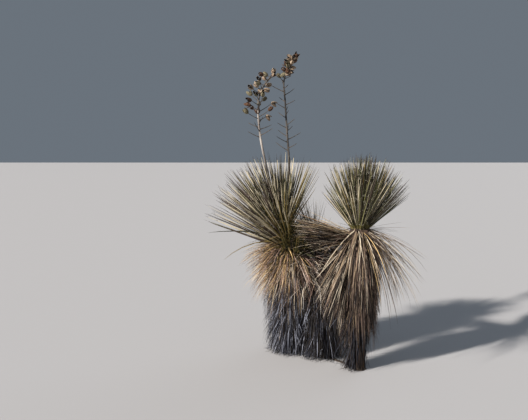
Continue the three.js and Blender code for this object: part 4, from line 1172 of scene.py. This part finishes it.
# the inside of the valves is near black: painted shade within the split pods
podMaterials += [
    weatheredMaterial("podShadedInside", (0.045, 0.028, 0.020), (0.009, 0.006, 0.005),
                      scale=120.0, stretch=1.0, bump=0.5, distance=0.001),
    weatheredMaterial("blackSeed", (0.035, 0.03, 0.028), (0.006, 0.006, 0.006),
                      scale=150.0, stretch=1.0, bump=0.3, distance=0.0005, low=0.3, high=0.5),
]


def podShells(gape):
    # valves evenly round the pod: radius is a power of a sine along it, grooved down the back; each
    # leans out by the gape times t to the lean's power, and has a wall inside
    t = np.linspace(0, 1, pod["rows"])[:, None]
    v = np.linspace(-1, 1, pod["columns"])[None, :]
    gape = gape[:, None, None]
    profile = np.sin(math.pi * (pod["root"] + pod["run"] * t)) ** pod["roundness"]
    profile = profile * (1 - pod["narrowing"] * t)
    groove = 1 - pod["groove"] * np.exp(-(v / pod["grooveWidth"]) ** 2)
    groove = groove + pod["ripple"] * np.sin(pod["ripplesRound"] * v + pod["ripplesUp"] * t)
    lean = pod["radius"] * pod["leanOut"] * gape * t ** pod["leanPower"]
    shells = []
    for valve in range(pod["valves"]):
        middle = valve * fullTurn / pod["valves"]
        angle = middle + v * pod["valveHalf"] * degree * (1 - pod["opening"] * gape * t)
        for wall in (0.0, pod["wall"]):
            radius = pod["radius"] * profile * groove - wall
            z = np.broadcast_to(pod["length"] * (t - 0.5), angle.shape)
            shells.append(np.stack([radius * np.cos(angle) + lean * math.cos(middle),
                                    radius * np.sin(angle) + lean * math.sin(middle), z], -1))
    return np.stack(shells, 1).reshape(len(gape), -1, 3)


def seedColumn(count):
    # a ribbed column of seeds, fullest at its middle, that stands inside the valves
    stack = seedStack
    angle = roundAngles(stack["sides"])
    h = np.linspace(*stack["span"], stack["rows"])[:, None]
    notches = stack["notch"][0] + stack["notch"][1] * (np.arange(stack["rows"])[:, None] % 2)
    ripple = notches * (1 + stack["lobe"] * np.cos(stack["lobes"] * angle))
    fullness = np.sqrt(np.clip(1 - (h / stack["halfHeight"]) ** 2, stack["least"], 1))
    radius = pod["radius"] * stack["radius"] * fullness * ripple
    z = np.broadcast_to(pod["length"] * h, radius.shape)
    column = np.stack([radius * np.cos(angle), radius * np.sin(angle), z], -1).reshape(-1, 3)
    return np.broadcast_to(column, (count, *column.shape))


def podFaces():
    # for each valve the outer wall, the rim and the inner wall turned round; then the seeds
    rows, columns = pod["rows"], pod["columns"]
    quads = gridFaces(rows, columns, closed=False)[0]
    across, upward = np.arange(columns - 1), np.arange(rows - 1) * columns
    top = (rows - 1) * columns
    rim = np.concatenate([across, upward + columns - 1, top + across[::-1] + 1, upward[::-1] + columns])
    following = np.roll(rim, -1)
    size = rows * columns
    edge = np.stack([following, rim, rim + size, following + size], -1)
    valve = np.concatenate([quads, edge, quads[:, ::-1] + size])
    skin = np.concatenate([np.zeros(len(quads) + len(edge), int), np.full(len(quads), 1)])
    seeds, ends = gridFaces(seedStack["rows"], seedStack["sides"])
    before = 2 * size * pod["valves"]
    faces = np.concatenate([valve + 2 * size * k for k in range(pod["valves"])] + [seeds + before])
    parts = np.concatenate([skin] * pod["valves"] + [np.full(len(seeds), 2)])
    return faces, parts, ends + before


def podPiece(name, slotName, *nodes):
    # every pod is the same shape, gaping, spun and sized by its own chances, on its twig's nod
    paths, nods = twigsOf(nodes)[::2]
    n = len(paths)
    pick = chances(pod["seed"], np.arange(n), 4)
    gape = pod["leastGape"] + pod["gapeTimes"] * pod["gape"] * pick[0] ** pod["gapePower"]
    points = np.concatenate([podShells(gape), seedColumn(n)], 1)
    points = points * (pod["smallest"] + pod["sizeSpread"] * pick[1])[:, None, None]
    level = unit(np.cross(nods, pod["spinAbout"]))
    across = np.cross(nods, level)
    spin = fullTurn * pick[2]
    first, second = turned(level, across, spin), turned(across, -level, spin)
    centre = paths[:, -1] + nods * (pod["centre"] * pod["length"] - pod["sunk"])
    points = points @ np.stack([first, second, nods], 1) + centre[:, None]
    faces, parts, ends = podFaces()
    olive = pod["olive"][name]
    shade = np.where(pick[3] < olive, 1, np.where(pick[3] < (1 + olive) / 2, 0, 2))
    # the valves' inner faces take the dark inside colour, painted shade
    inside, seeds = len(podSkins), len(podSkins) + 1
    table = np.array([[0, 1, 2], [inside] * 3, [seeds] * 3])
    kinds = [table[p][:, shade].T.reshape(-1) for p in (parts, np.full(len(ends), 2))]
    groups = [repeatFaces(f, n, points.shape[1]) for f in (faces, ends)]
    points = points.reshape(-1, 3)
    piece = meshPiece(name, points, groups, kinds, points[:, [0, 2]], podMaterials, pod["sharpAngle"])
    return ridePiece(piece, slotName, *nodes)


for key in stalks:
    shadeStalk(key)
    ridePiece(gridPiece(f"{key}Stalk", [stalkGrid(key)], stalkMaterials[key]), "stalk_wood", f"{key}_stalk")
twigPiece("leftTwigs", "left", "twig", "left_bare_twigs")
twigPiece("rightTwigs", "right", "twig", "right_bare_twigs_low", "right_bare_twigs_high")
podPiece("leftPods", "pod", "left_pods_low", "left_pods_high")
podPiece("rightPods", "pod", "right_pods")
print("stalks, twigs and pods made")


# floor, light and camera

studio = {"floorHalf": 400.0, "floorColour": (0.50, 0.49, 0.50, 1), "floorRoughness": 0.9,
          "sky": (0.72, 0.85, 1.0, 1), "skyStrength": 0.20, "aim": (0.0, 0.0, 1.1)}
suns = {
    "keyLight": {"place": (-6.6, -4.0, 5.2), "width": 2.0, "strength": 6.0, "colour": (1.0, 0.95, 0.88)},
    "fillLight": {"place": (5.0, 5.5, 3.6), "width": 50.0, "strength": 0.55, "colour": (0.84, 0.92, 1.0)},
}
# the photo's width and focal length, and how far its eye level lies above the middle, in its pixels
photoView = {"place": (-0.55, -5.22, 1.86), "eyeLevel": 50, "focal": 560.0, "width": 528.0, "sensor": 36.0}


def makeFloor():
    half = studio["floorHalf"]
    corners = [(-half, -half, 0), (half, -half, 0), (half, half, 0), (-half, half, 0)]
    mesh = bpy.data.meshes.new("paleFloor")
    mesh.from_pydata(corners, [], [(0, 1, 2, 3)])
    floor = bpy.data.objects.new("paleFloor", mesh)
    bpy.context.scene.collection.objects.link(floor)
    material = bpy.data.materials.new("paleFloor")
    material.use_nodes = True
    shader = material.node_tree.nodes["Principled BSDF"]
    shader.inputs["Base Color"].default_value = studio["floorColour"]
    shader.inputs["Roughness"].default_value = studio["floorRoughness"]
    mesh.materials.append(material)


def makeSun(name, sun):
    # tipped from straight down by the level way to the aim over the drop, then turned to its bearing
    lamp = bpy.data.lights.new(name, "SUN")
    lamp.angle = sun["width"] * degree
    lamp.energy = sun["strength"]
    lamp.color = sun["colour"]
    light = bpy.data.objects.new(name, lamp)
    light.location = sun["place"]
    x, y, z = np.array(studio["aim"]) - np.array(sun["place"])
    light.rotation_euler = (math.atan2(math.hypot(x, y), -z), 0, math.atan2(y, x) - math.pi / 2)
    bpy.context.scene.collection.objects.link(light)


def makeSky():
    scene = bpy.context.scene
    scene.world = bpy.data.worlds.new("paleSky")
    scene.world.use_nodes = True
    sky = scene.world.node_tree.nodes["Background"]
    sky.inputs["Color"].default_value = studio["sky"]
    sky.inputs["Strength"].default_value = studio["skyStrength"]


def makeCamera():
    down = math.atan(photoView["eyeLevel"] / photoView["focal"])
    lens = bpy.data.cameras.new("camera")
    lens.sensor_width = photoView["sensor"]
    lens.lens = photoView["sensor"] * photoView["focal"] / photoView["width"]
    eye = bpy.data.objects.new("camera", lens)
    eye.location = photoView["place"]
    eye.rotation_euler = (math.pi / 2 - down, 0, 0)
    bpy.context.scene.collection.objects.link(eye)
    bpy.context.scene.camera = eye


makeFloor()
makeSky()
for name, sun in suns.items():
    makeSun(name, sun)
makeCamera()
bpy.context.scene.view_settings.view_transform = "Standard"
print("floor, light and camera made")
